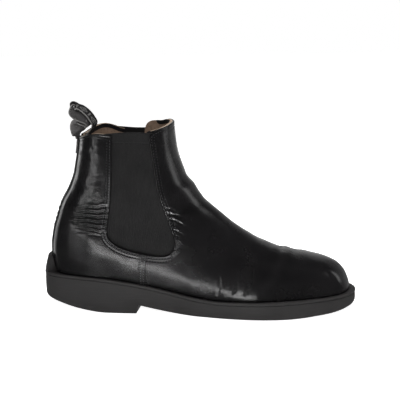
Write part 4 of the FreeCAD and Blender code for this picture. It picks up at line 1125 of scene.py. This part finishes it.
def backstay():
    nv = 130
    v = np.concatenate([np.linspace(0.002, 0.885, nv), [0.889, 0.892, 0.8935, 0.8945]])
    w = STRAP(v) + 0.6
    e = np.array([0.0, 0.10, 0.3, 0.6, 1.0, 1.5, 1.9, 2.3, 2.9])
    rows = []
    for k in range(len(v)):
        mid = np.linspace(-w[k] + e[-1], w[k] - e[-1], 17)
        rows.append(np.concatenate([-w[k] + e[:-1], mid, (w[k] - e[:-1])[::-1]]))
    S = np.stack(rows, 0)
    V = np.broadcast_to(v[:, None], S.shape)
    U = back_uv(S, V)
    d = w[:, None] - np.abs(S)
    vd = (0.8945 - V) * 165.0
    dd = np.minimum(d, vd)
    X, N = master(U, V), normal(U, V)
    h = leather_disp(U, V) * 0.6
    h = h + 0.05 * noise(S * 0.6, V * 60)
    lift = edge_lift(dd, (1.9,))
    # a few crosswise buckles low on the strap
    z = X[..., 2]
    for zc, am in ((104, .30), (98.5, .42), (93, .42), (87.5, .34), (82, .22)):
        h = h + am * (np.exp(-((z - zc) / 1.5) ** 2) - 0.7 * np.exp(-((z - zc + 2.6) / 1.2) ** 2))
    out = X + N * (1.35 + h + lift)[..., None]
    inn = X + N * (0.12 + h * 0.6)[..., None]
    ob = two_sided("leather_backstay", place(out[:, ::-1]), place(inn[:, ::-1]), np.stack([S, V * 160], -1)[:, ::-1] / 100.0,
                   {"fold": h[:, ::-1], "edge": np.exp(-dd)[:, ::-1], "rimd": dd[:, ::-1]})
    dress(ob, M_STAY)
    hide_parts("backstay")
    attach(ob, B1)
    for sgn, tag in ((1, "lateral"), (-1, "medial")):
        vv = np.linspace(0.03, 0.875, 900)
        ss = sgn * (STRAP(vv) + 0.6 - 1.9)
        uu = back_uv(ss, vv)
        P = master(uu, vv)
        s = np.concatenate([[0], np.cumsum(np.linalg.norm(np.diff(P, axis=0), axis=1))])
        at = np.arange(1.5, s[-1] - 1.5, 2.7)
        u, v2 = np.interp(at, s, uu), np.interp(at, s, vv)
        ub, vb = np.interp(at + 0.2, s, uu), np.interp(at + 0.2, s, vv)
        N2 = normal(u, v2)
        T = master(ub, vb) - master(u, v2)
        T /= np.linalg.norm(T, axis=1, keepdims=True)
        hh = leather_disp(u, v2) * 0.6
        zz = master(u, v2)[..., 2]
        for zc, am in ((104, .30), (98.5, .42), (93, .42), (87.5, .34), (82, .22)):
            hh = hh + am * (np.exp(-((zz - zc) / 1.5) ** 2) - 0.7 * np.exp(-((zz - zc + 2.6) / 1.2) ** 2))
        ob = dress(stitch_mesh("stitch_backstay_" + tag, master(u, v2) + N2 * (1.35 + hh - 0.18)[:, None], T, N2), M_THR2)
        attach(ob, B1)


backstay()


def seam_lap(outer):
    tag = "lateral" if outer else "medial"
    left = polyline([(93.9, 27.4), (94.2, 44.0), (94.4, 58.6)], 0.5)
    right = polyline([(99.8, 26.6), (100.6, 44.0), (102.4, 57.8)], 0.5)
    n = 90
    b = np.linspace(0, 1, n)
    fl = np.stack([np.interp(b, np.linspace(0, 1, len(left)), left[:, k]) for k in (0, 1)], 1)
    fr = np.stack([np.interp(b, np.linspace(0, 1, len(right)), right[:, k]) for k in (0, 1)], 1)
    w = np.linalg.norm(fr - fl, axis=1)
    e = np.array([0.0, 0.08, 0.25, 0.5, 0.8, 1.2, 1.5, 1.8, 2.3])
    a = np.stack([np.concatenate([e, np.linspace(2.8, wi - 2.8, 5), (wi - e)[::-1]]) / wi for wi in w], 0)
    X2 = fl[:, None, :] * (1 - a)[..., None] + fr[:, None, :] * a[..., None]
    u, v = ring_for(X2[..., 0], X2[..., 1])
    if not outer:
        u = 1.0 - u
    X, N = master(u, v), normal(u, v)
    d = np.minimum(a, 1 - a) * w[:, None]
    h = leather_disp(u, v)
    out = X + N * (1.08 + h + edge_lift(d, (1.5,)))[..., None]
    inn = X + N * (0.05 + h)[..., None]
    if outer:
        out, inn, h, d = out[:, ::-1], inn[:, ::-1], h[:, ::-1], d[:, ::-1]
    ob = two_sided("seam_lap_" + tag, place(out), place(inn), None, {"fold": h, "edge": np.exp(-d), "rimd": d})
    dress(ob, M_QTR)
    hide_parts("seam_strip_" + tag)
    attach(ob, B1)
    for k in (0, 1):
        c = fl + (fr - fl) * ((1.5 / w) if k == 0 else (1 - 1.5 / w))[:, None]
        c = np.stack([np.interp(np.linspace(0, n - 1, 600), np.arange(n), c[:, j]) for j in (0, 1)], 1)
        uu, vv = ring_for(c[:, 0], c[:, 1])
        if not outer:
            uu = 1 - uu
        P = master(uu, vv)
        s = np.concatenate([[0], np.cumsum(np.linalg.norm(np.diff(P, axis=0), axis=1))])
        at = np.arange(1.4, s[-1] - 1.2, 2.5)
        u1, v1 = np.interp(at, s, uu), np.interp(at, s, vv)
        u2, v2 = np.interp(at + 0.2, s, uu), np.interp(at + 0.2, s, vv)
        N2 = normal(u1, v1)
        T = master(u2, v2) - master(u1, v1)
        T /= np.linalg.norm(T, axis=1, keepdims=True)
        ob = dress(stitch_mesh("stitch_seam_%s_%d" % (tag, k), master(u1, v1) + N2 * (1.08 + leather_disp(u1, v1) - 0.16)[:, None], T, N2, 1.7, 0.25), M_THR)
        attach(ob, B1)


seam_lap(True)
seam_lap(False)


# =====================================================================  pull loop

UNDER = (1.0, 0.0)                                  # the back of the weave is paler, and its pale grey is also painted light that brightens the loop's shaded inner face


def ribbon(name, path3, wdir, width, thick, body, replaces, curl=0.0):
    """Woven tape along path3 (n, 3), its width along wdir (n, 3)."""
    n = len(path3)
    t = np.gradient(path3, axis=0)
    t /= np.linalg.norm(t, axis=1, keepdims=True)
    wd = wdir - (wdir * t).sum(1, keepdims=True) * t
    wd /= np.linalg.norm(wd, axis=1, keepdims=True)
    nn = np.cross(t, wd)
    a = np.array([-0.5, -0.492, -0.47, -0.44, -0.425, -0.40, -0.30, -0.15, 0.0, 0.15, 0.30, 0.40, 0.425, 0.44, 0.47, 0.492, 0.5])
    selv = np.where(np.abs(a) > 0.43, 0.16, 0.0) - 0.28 * smooth((np.abs(a) - 0.485) / 0.015)
    s = np.concatenate([[0], np.cumsum(np.linalg.norm(np.diff(path3, axis=0), axis=1))])
    bow = curl * (1 - (2 * a) ** 2)
    rib = 0.035 * np.cos(s * 2 * np.pi / 0.9)
    hgt = bow[None, :] + 0.0 * s[:, None]
    up_ = thick / 2 + selv[None, :] + rib[:, None]
    base = path3[:, None, :] + wd[:, None, :] * (a * width)[None, :, None]
    out = base + nn[:, None, :] * (hgt + up_)[..., None]
    inn = base + nn[:, None, :] * (hgt - up_)[..., None]
    uv = np.stack(np.broadcast_arrays(a[None, :] + 0.5, (s / width)[:, None]), -1)
    ob = two_sided(name, place(out[:, ::-1]), place(inn[:, ::-1]), uv[:, ::-1])
    half = len(ob.data.vertices) // 2
    at = ob.data.attributes.new("under", "FLOAT", "POINT")
    at.data.foreach_set("value", np.where(np.arange(len(ob.data.vertices)) < half, UNDER[0], UNDER[1]).astype(np.float32))
    dress(ob, M_RIB)
    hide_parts(*replaces)
    return ob, float(s[-1])


def pull_loop():
    """One run of tape: from the inner tab up, arched to the back, down, folded, and back to the outer tab."""
    near = [(37.2, 164.8), (38.4, 168.4), (42.0, 172.4), (45.4, 176.4), (46.2, 180.2), (44.3, 184.3), (41.8, 188.2), (37.5, 192.6), (32.7, 195.6), (28.7, 196.4),
            (26.3, 195.0), (25.5, 192.2), (25.9, 189.0), (28.3, 186.2), (32.7, 184.3), (37.1, 182.3), (40.8, 180.2), (41.6, 178.7),
            (40.0, 178.3), (37.0, 179.5), (33.6, 181.0), (30.0, 181.9), (26.7, 181.2), (24.9, 178.4), (24.8, 174.8), (26.6, 171.6), (29.0, 169.8), (30.2, 166.6)]
    c = polyline(near, 0.40)
    s = np.concatenate([[0], np.cumsum(np.linalg.norm(np.diff(c, axis=0), axis=1))])
    k = smooth((s - 5.0) / 13.0) * smooth((s[-1] - 3.0 - s) / 9.0)
    # the lower run of the loop is twisted, so that its face shows through the loop
    low = smooth((s - 42.0) / 8.0) * smooth((s[-1] - 33.0 - s) / 6.0)
    tail = smooth((s - s[-1] + 21.0) / 5.0) * smooth((s[-1] - 2.0 - s) / 8.0)
    fold = smooth((s - s[-1] + 31.0) / 5.0) * smooth((s[-1] - 15.0 - s) / 6.0)
    wd = np.stack([1.6 * k + 12.5 * tail, lerp(17.0, 15.5, k) - 1.5 * low - 5.0 * tail, 2.0 * k + 7.5 * low - 6.5 * fold + 1.5 * tail], 1)
    wd = 17.0 * wd / np.linalg.norm(wd, axis=1, keepdims=True)
    y0 = np.full(len(c), -8.5)
    path = np.stack([c[:, 0], y0, c[:, 1]], 1) + 0.5 * wd
    path[:, 2] += 0.25 * np.sin(s / 6.0) * k
    ob, ln = ribbon("ribbon_loop", path, wd, 17.0, 0.80, "pull_loop", ["pull_loop"], 0.20)
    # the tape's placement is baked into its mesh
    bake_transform(ob)
    return ln


LOOP_LEN = pull_loop()


def tabs():
    for tag, t_mid, va, vb in (("outer", 2.25, 0.80, 0.893), ("inner", L0 - 0.85, 0.80, 0.893)):
        v = np.linspace(va, vb, 40)
        P, W = [], []
        for vv in v:
            uu = back_uv(np.array([-0.5, 0.0, 0.5]), np.full(3, vv))
            X = master(uu, np.full(3, vv))
            N = normal(uu, np.full(3, vv))
            P.append(X[1] + N[1] * t_mid)
            W.append(X[0] - X[2])
        P, W = np.array(P), np.array(W)
        # the tape follows the curve of the back across its width
        a = np.linspace(-8.4, 8.4, 19)
        S, V = np.meshgrid(a, v, indexing="xy")
        U = back_uv(S, V)
        X, N = master(U, V), normal(U, V)
        e = 8.4 - np.abs(S)
        vd = np.minimum(V - va, vb - V) * 165.0
        th = 0.45 + np.where(e < 1.3, 0.10, 0.0) - 0.25 * (1 - smooth(e / 0.5)) - 0.2 * (1 - smooth(vd / 0.6))
        h = leather_disp(U, V) * (0.6 if tag == "outer" else 0.0)
        out = X + N * (t_mid + h + th)[..., None]
        inn = X + N * (t_mid + h - th)[..., None]
        uv = np.stack([(S + 8.4) / 16.8, V * 165.0 / 17.0], -1)
        ob = two_sided("ribbon_tab_" + tag, place(out[:, ::-1]), place(inn[:, ::-1]), uv[:, ::-1])
        dress(ob, M_RIB)
        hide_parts("loop_tab_" + tag)
        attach(ob, B1)


tabs()


# =====================================================================  bottom unit
SOLE_OUT = [(-8.0, 0.0), (-6.4, -9.0), (-1.0, -19.0), (6.0, -25.0), (16.0, -30.4), (30.0, -35.6), (50.0, -39.0),
            (75.0, -40.4), (100.0, -40.4), (125.0, -41.6), (150.0, -46.2), (175.0, -51.6), (200.0, -54.6),
            (220.0, -54.2), (240.0, -50.6), (260.0, -43.8), (277.0, -34.6), (290.0, -23.6), (298.5, -11.0),
            (301.5, 4.0), (299.0, 15.5), (291.5, 26.5), (279.5, 36.2), (262.0, 44.4), (241.0, 49.4), (220.0, 51.0),
            (199.0, 49.8), (175.0, 45.2), (150.0, 38.8), (125.0, 34.6), (100.0, 34.4), (75.0, 36.8), (50.0, 37.4),
            (30.0, 34.6), (16.0, 29.6), (6.0, 24.6), (-1.0, 18.8), (-6.4, 9.0)]
ZB = Spline([(-14.0, 12.8), (0.0, 9.4), (15.0, 6.3), (28.0, 3.9), (38.0, 2.3), (46.0, 1.2), (54.0, 0.35), (62.0, 0.0),
             (76.0, 0.0), (90.5, 0.0)])
ZW = Spline([(92.9, 8.4), (103.0, 6.2), (115.0, 3.8), (127.0, 1.9), (140.0, 0.6), (152.0, 0.0), (194.0, 0.0), (236.0, 0.0), (250.0, 0.45),
             (262.0, 1.2), (275.0, 2.6), (288.0, 5.2), (297.0, 8.2), (308.0, 12.6)])
BREAST0, BREAST1 = 90.6, 92.9


def z_bottom(x):
    x = np.asarray(x, float)
    heel = ZB(np.minimum(x, BREAST0))
    fore = ZW(np.maximum(x, BREAST1))
    t = np.clip((x - BREAST0) / (BREAST1 - BREAST0), 0, 1)
    return np.where(x <= BREAST0, heel, np.where(x >= BREAST1, fore, lerp(0.0, 8.4, t)))


TREAD = [(166.0 + 9.0 * k, 3.2, 29.0, 2.6) for k in range(13)] + [(62.0 + 22.0 / 3 * k, 3.2, 22.0, 2.6) for k in range(4)]
RIBS = [(96.2, 1.3, 1.5), (101.6, 1.3, 1.2), (107.0, 1.3, 0.8), (112.4, 1.3, 0.7), (117.8, 1.3, 0.6), (123.2, 1.3, 0.5), (128.6, 1.3, 0.4)]


def tread_z(x, y):
    """Height added to the bottom: grooves go up into the rubber, ribs stand down."""
    z = np.zeros(np.broadcast(x, y).shape)
    for x0, w, hy, dp in TREAD:
        inx = smooth((x - x0 + 0.15) / 0.3) * smooth((x0 + w + 0.15 - x) / 0.3)
        iny = smooth((hy + 0.15 - np.abs(y)) / 0.3)
        z = np.maximum(z, dp * inx * iny)
    for x0, w, dp in RIBS:
        z = z - dp * smooth((x - x0 + 0.3) / 0.6) * smooth((x0 + w + 0.3 - x) / 0.6)
    return z


def closed_curve(pts, n):
    p = np.array(pts, float)
    m = len(p)
    out = []
    per = max(4, n // m)
    for i in range(m):
        p0, p1, p2, p3 = p[i - 1], p[i], p[(i + 1) % m], p[(i + 2) % m]
        t = np.linspace(0, 1, per, endpoint=False)[:, None]
        t1 = np.linalg.norm(p1 - p0) ** 0.5
        t2 = t1 + np.linalg.norm(p2 - p1) ** 0.5
        t3 = t2 + np.linalg.norm(p3 - p2) ** 0.5
        tt = t1 + (t2 - t1) * t
        a1 = (t1 - tt) / t1 * p0 + tt / t1 * p1
        a2 = (t2 - tt) / (t2 - t1) * p1 + (tt - t1) / (t2 - t1) * p2
        a3 = (t3 - tt) / (t3 - t2) * p2 + (tt - t2) / (t3 - t2) * p3
        b1 = (t2 - tt) / t2 * a1 + tt / t2 * a2
        b2 = (t3 - tt) / (t3 - t1) * a2 + (tt - t1) / (t3 - t1) * a3
        out.append((t2 - tt) / (t2 - t1) * b1 + (tt - t1) / (t2 - t1) * b2)
    return np.vstack(out)


def sole_unit():
    dense = closed_curve(SOLE_OUT, 2400)
    d2 = np.roll(dense, -1, 0) - np.roll(dense, 1, 0)
    tang = d2 / np.linalg.norm(d2, axis=1, keepdims=True)
    onorm = np.stack([tang[:, 1], -tang[:, 0]], 1)
    area2 = 0.5 * np.sum(dense[:, 0] * np.roll(dense[:, 1], -1) - np.roll(dense[:, 0], -1) * dense[:, 1])
    if area2 < 0:
        onorm = -onorm
    cum = np.concatenate([[0], np.cumsum(np.linalg.norm(np.diff(np.vstack([dense, dense[:1]]), axis=0), axis=1))])
    n = 900
    s = np.linspace(0, cum[-1], n, endpoint=False)
    wrap = lambda a: np.vstack([a, a[:1]])
    O = np.stack([np.interp(s, cum, wrap(dense)[:, k]) for k in (0, 1)], 1)
    On = np.stack([np.interp(s, cum, wrap(onorm)[:, k]) for k in (0, 1)], 1)
    On /= np.linalg.norm(On, axis=1, keepdims=True)
    # snap columns to the heel breast so that its edge is clean
    for xb in (BREAST0, BREAST1):
        for side in (-1, 1):
            k = np.where(np.sign(O[:, 1]) == side)[0]
            j = k[np.argmin(np.abs(O[k, 0] - xb))]
            O[j] += (xb - O[j, 0]) * np.array([1.0, 0.0])
    uu = np.linspace(0, 1, 3000, endpoint=False)
    Fm = master(uu, np.zeros_like(uu))
    kd = KDTree(len(Fm))
    for i, p in enumerate(Fm):
        kd.insert((p[0], p[1], 0.0), i)
    kd.balance()
    near = np.array([kd.find((o[0] - 4 * q[0], o[1] - 4 * q[1], 0.0))[1] for o, q in zip(O, On)])
    U = uu[near]
    Us = np.unwrap(U * 2 * np.pi)
    k = 9
    ker = np.ones(k) / k
    pad = np.concatenate([Us[-k:] - np.sign(Us[-1] - Us[0]) * 2 * np.pi, Us, Us[:k] + np.sign(Us[-1] - Us[0]) * 2 * np.pi])
    U = np.convolve(pad, ker, "same")[k:-k] / (2 * np.pi)
    F = master(U, np.zeros(n))
    x, y = O[:, 0], O[:, 1]
    zt = ZF(np.clip(F[:, 0], 0, 308)) + 0.25
    zb = z_bottom(x)
    hs = 15.6 * smooth((17.6 - np.abs(y)) / 2.6) * (x < 20)
    m = hs / 15.6
    # upper's own outline at the height of the raised heel lip
    vh = np.clip((zt + hs - BZ(0.0)) / (BZ(0.14) - BZ(0.0)) * 0.14, 0.0, 0.2)
    Up = master(U, vh)
    Upn = normal(U, np.maximum(vh, 0.004))
    rows = []

    def row(plan, z):
        rows.append(np.concatenate([plan, np.broadcast_to(z, (n,))[:, None]], 1))
    wave = 0.06 * noise(x / 5.0, y / 5.0)[:, None] * On
    row(O - On * 4.0, zb)
    row(O - On * 1.5, zb)
    row(O - On * 0.75, zb + 0.12)
    row(O - On * 0.25, zb + 0.50)
    row(O - On * 0.0 + wave, zb + 1.2)
    side = zt - 3.3
    for f in (0.12, 0.25, 0.4, 0.55, 0.7, 0.82, 0.91, 0.96):
        row(O + On * (0.30 * math.sin(math.pi * f)) + wave, zb + 1.2 + (side - zb - 1.2) * f)
    row(O + On * 0.05, side)
    row(O - On * 0.55, side + 0.18)
    row(O - On * 0.60, side + 0.45)
    row(O + On * 0.10, side + 0.70)
    row(O + On * 0.42, side + 1.1)
    lipw = (O + On * 0.45)
    outer_up = (Up + Upn * 5.6)[:, :2]
    for f in (0.25, 0.5, 0.75, 0.92):
        kk = (m * f ** 1.3)[:, None]
        row(lipw * (1 - kk) + outer_up * kk, side + 1.1 + (zt + hs - side - 1.7) * f)
    inner_up = (Up + Upn * 1.9)[:, :2]
    mm = m[:, None]
    tipo = lipw * (1 - mm) + outer_up * mm
    row(tipo - On * 0.15, zt + hs - 0.22)
    row(tipo - On * 0.6, zt + hs)
    ti = lerp(F[:, :2] + On * 1.2, inner_up, mm)
    row(lerp(tipo - On * 0.6, ti, 0.5), zt + hs + 0.04)
    row(ti, zt + hs - 0.05)
    row(ti - On * 0.5, zt + hs * 0.8 - 0.5)
    row(F[:, :2] - On * 2.0, zt - 1.1)
    row(F[:, :2] - On * 7.0, zt - 1.3)
    G = np.stack(rows, 1)                                  # n, m, 3
    nr = G.shape[1]
    V = G.reshape(-1, 3)
    i = np.arange(n)[:, None]
    j = np.arange(nr - 1)[None, :]
    a = i * nr + j
    b = ((i + 1) % n) * nr + j
    Fq = np.stack([a, b, b + 1, a + 1], -1).reshape(-1, 4)
    if area2 < 0:
        Fq = Fq[:, ::-1]
    faces = Fq.tolist()
    # underside
    ring = G[:, 0, :2]
    gx = [np.arange(-4, 300, 6.0)]
    for x0, w, hy, dp in TREAD:
        gx.append(np.array([x0 - 0.16, x0 + 0.16, x0 + w / 2, x0 + w - 0.16, x0 + w + 0.16]))
    for x0, w, dp in RIBS:
        gx.append(np.array([x0 - 0.3, x0 + 0.3, x0 + w - 0.3, x0 + w + 0.3]))
    gx.append(np.array([BREAST0 - 0.02, BREAST1 + 0.02, 88.0, 95.0]))
    gx = np.unique(np.round(np.concatenate(gx), 3))
    gy = np.unique(np.concatenate([np.arange(-54, 54.1, 4.5), [-29.16, -28.84, 28.84, 29.16, -22.16, -21.84, 21.84, 22.16]]))
    A, B = np.meshgrid(gx, gy, indexing="ij")
    Q = np.stack([A.ravel(), B.ravel()], 1)

    def inside(q, P):
        res = np.zeros(len(q), bool)
        x1, y1 = P[:, 0], P[:, 1]
        x2, y2 = np.roll(x1, -1), np.roll(y1, -1)
        for c in range(0, len(q), 3000):
            qx, qy = q[c:c + 3000, 0][:, None], q[c:c + 3000, 1][:, None]
            cr = (y1[None] > qy) != (y2[None] > qy)
            with np.errstate(divide="ignore", invalid="ignore"):
                xi = (x2 - x1)[None] * (qy - y1[None]) / (y2 - y1)[None] + x1[None]
            res[c:c + 3000] = (np.sum(cr & (qx < xi), 1) % 2).astype(bool)
        return res
    Q = Q[inside(Q, ring - On * 0.8)]
    pts = np.vstack([ring, Q])
    r = delaunay_2d_cdt([Vector(p) for p in pts.tolist()], [(k, (k + 1) % n) for k in range(n)], [], 0, 1e-5)
    P2 = np.array([tuple(p) for p in r[0]], float)
    T = np.array([f for f in r[2] if len(f) == 3], int)
    T = T[inside(P2[T].mean(1), ring)]
    aa = P2[T]
    cr = (aa[:, 1, 0] - aa[:, 0, 0]) * (aa[:, 2, 1] - aa[:, 0, 1]) - (aa[:, 2, 0] - aa[:, 0, 0]) * (aa[:, 1, 1] - aa[:, 0, 1])
    T[cr > 0] = T[cr > 0][:, ::-1]                          # faces look down
    kr = KDTree(n)
    for q in range(n):
        kr.insert((ring[q, 0], ring[q, 1], 0.0), q)
    kr.balance()
    idx = np.zeros(len(P2), int)
    extra = []
    for q, p in enumerate(P2):
        _, w, dist = kr.find((p[0], p[1], 0.0))
        if dist < 1e-3:
            idx[q] = w * nr
        else:
            idx[q] = len(V) + len(extra)
            extra.append((p[0], p[1], float(z_bottom(p[0]) + tread_z(p[0], p[1]))))
    V = np.vstack([V, np.array(extra)])
    faces += idx[T].tolist()
    # lid over the top, inside the boot
    faces.append(((np.arange(n) * nr + nr - 1)[::-1] if area2 < 0 else np.arange(n) * nr + nr - 1).tolist())
    ob = new_object("rubber_unit", place(V), faces)
    dress(ob, M_SOLE)
    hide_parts("outsole", "welt")
    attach(ob, B1)
    try:
        ob.data.set_sharp_from_angle(angle=math.radians(42))
    except Exception:
        pass
    return ob


sole_unit()


def frame_piece(name, mat, bevel=0.0):
    o = NODES[name]
    o.data.materials.clear()
    o.data.materials.append(mat)
    if bevel:
        w = o.modifiers.new("weld", "WELD")
        w.merge_threshold = 0.00002
        m = o.modifiers.new("bevel", "BEVEL")
        m.width = bevel
        m.segments = 3
        m.limit_method = "ANGLE"
        m.angle_limit = math.radians(38)
    return o


for name, mat, slot, bev in (("filler", M_CORK, "cork", 0), ("shank", M_STEEL, "steel", 0), ("insole_board", M_BOARD, "board", 0),
                             ("sock_liner", M_SOCK, "sock", 0.0006), ("heel_counter", M_STIFF, "stiffener", 0),
                             ("toe_puff", M_STIFF, "stiffener", 0)):
    frame_piece(name, mat, bev)

# =====================================================================  studio
lo, hi = CAD_BOX
fl = bpy.data.meshes.new("floor")
R = 6.0
fl.from_pydata([(-R, -R, -0.0002), (R, -R, -0.0002), (R, R, -0.0002), (-R, R, -0.0002)], [], [(0, 1, 2, 3)])
floor = bpy.data.objects.new("floor", fl)
bpy.context.scene.collection.objects.link(floor)
mf, ntf, bf = mat_base("studio_floor")
nf = nd(ntf, "ShaderNodeTexNoise", Scale=3.0, Detail=3.0)
ntf.links.new(coord(ntf), nf.inputs["Vector"])
pale = ramp(ntf, nf.outputs[0], [(0.3, (0.90, 0.90, 0.90)), (0.7, (0.92, 0.92, 0.92))])
ntf.links.new(pale, bf.inputs["Base Color"])
bf.inputs["Roughness"].default_value = 0.9
bf.inputs["Specular IOR Level"].default_value = 0.1
# the sweep is lit from below, so that it stays near white round the boot
bf.inputs["Emission Color"].default_value = (1.0, 1.0, 1.0, 1.0)
bf.inputs["Emission Strength"].default_value = 0.96
fl.materials.append(mf)
floor.visible_glossy = False                      # the sweep is not mirrored in the leather

world = bpy.data.worlds.new("studio")
bpy.context.scene.world = world
world.use_nodes = True
wn = world.node_tree
bg = wn.nodes["Background"]
tc = wn.nodes.new("ShaderNodeTexCoord")
sw = wn.nodes.new("ShaderNodeSeparateXYZ")
wn.links.new(tc.outputs["Generated"], sw.inputs[0])
w1 = mrange(wn, sw.outputs[1], 0.40, 0.88, 0.0, 1.0)
w2 = mrange(wn, sw.outputs[2], 0.34, 0.52, 1.0, 0.0)
w3 = math_node(wn, "MULTIPLY", mrange(wn, sw.outputs[2], 0.02, 0.07, 1.0, 0.66), mrange(wn, sw.outputs[0], 0.09, 0.24, 1.0, 0.25))
wcol = mixc(wn, math_node(wn, "MULTIPLY", math_node(wn, "MULTIPLY", w1, w2), w3), (0.022, 0.022, 0.023), (1.06, 1.06, 1.06))
# plain white behind everything; the graded sky is only what the leather mirrors
lp = wn.nodes.new("ShaderNodeLightPath")
wn.links.new(mixc(wn, lp.outputs["Is Camera Ray"], wcol, (1.0, 1.0, 1.0)), bg.inputs[0])
bg.inputs[1].default_value = 1.0


def area(name, loc, target, size, power, glossy=True, diffuse=True):
    d = bpy.data.lights.new(name, "AREA")
    d.shape = "RECTANGLE"
    d.size, d.size_y = size
    d.energy = power
    o = bpy.data.objects.new(name, d)
    o.location = loc
    dirv = Vector(target) - Vector(loc)
    o.rotation_euler = dirv.to_track_quat("-Z", "Y").to_euler()
    o.visible_camera = False
    o.visible_glossy = glossy
    o.visible_diffuse = diffuse
    bpy.context.scene.collection.objects.link(o)
    return o


area("soft_top", (0.10, 0.20, 1.10), (0.02, 0, 0.05), (0.9, 0.6), 9.0, glossy=False)
area("soft_front", (0.15, -1.0, 0.60), (0.02, 0, 0.05), (0.8, 0.5), 5.5, glossy=False)
area("soft_right", (1.05, 0.32, 0.50), (0.05, 0, 0.05), (0.35, 0.8), 1.6)
area("soft_back", (-0.95, 0.62, 0.45), (-0.10, 0, 0.08), (0.30, 0.8), 1.2)
area("strip_left", (-0.58, -0.39, 0.13), (-0.094, -0.033, 0.13), (0.05, 0.30), 0.27, diffuse=False)
area("strip_left_low", (-0.45, -0.46, 0.045), (-0.098, -0.034, 0.115), (0.06, 0.15), 0.20, diffuse=False)
# a low card in front of the heel draws the long highlight along the lasted edge
card = area("card_low", (-0.094, -0.2175, 0.002), (-0.094, -0.2175, 1.0), (0.34, 0.030), 0.72, diffuse=False)
cc, ss = math.cos(math.radians(30.5)), math.sin(math.radians(30.5))
card.matrix_world = Matrix(((cc, ss, 0, -0.094), (ss, -cc, 0, -0.2175), (0, 0, -1, 0.002), (0, 0, 0, 1)))

scene = bpy.context.scene
scene.view_settings.view_transform = "Standard"
scene.view_settings.look = "None"

cam = bpy.data.cameras.new("camera")
cam.sensor_fit = "HORIZONTAL"
cam.sensor_width = 36.0
cam.lens = 88.6
cam.clip_start, cam.clip_end = 0.05, 50.0
cam.dof.use_dof = False
co_ = bpy.data.objects.new("camera", cam)
bpy.context.scene.collection.objects.link(co_)
yaw, pitch, roll = math.radians(7.0), math.radians(10.73), math.radians(-1.0)
fwd = Vector((-math.cos(pitch) * math.sin(yaw), math.cos(pitch) * math.cos(yaw), -math.sin(pitch)))
right = Vector((math.cos(yaw), math.sin(yaw), 0.0))
up = right.cross(fwd)
r2 = right * math.cos(roll) + up * math.sin(roll)
u2 = up * math.cos(roll) - right * math.sin(roll)
co_.matrix_world = Matrix(((r2.x, u2.x, -fwd.x, 0.1190), (r2.y, u2.y, -fwd.y, -0.9411), (r2.z, u2.z, -fwd.z, 0.2850), (0, 0, 0, 1)))
scene.camera = co_
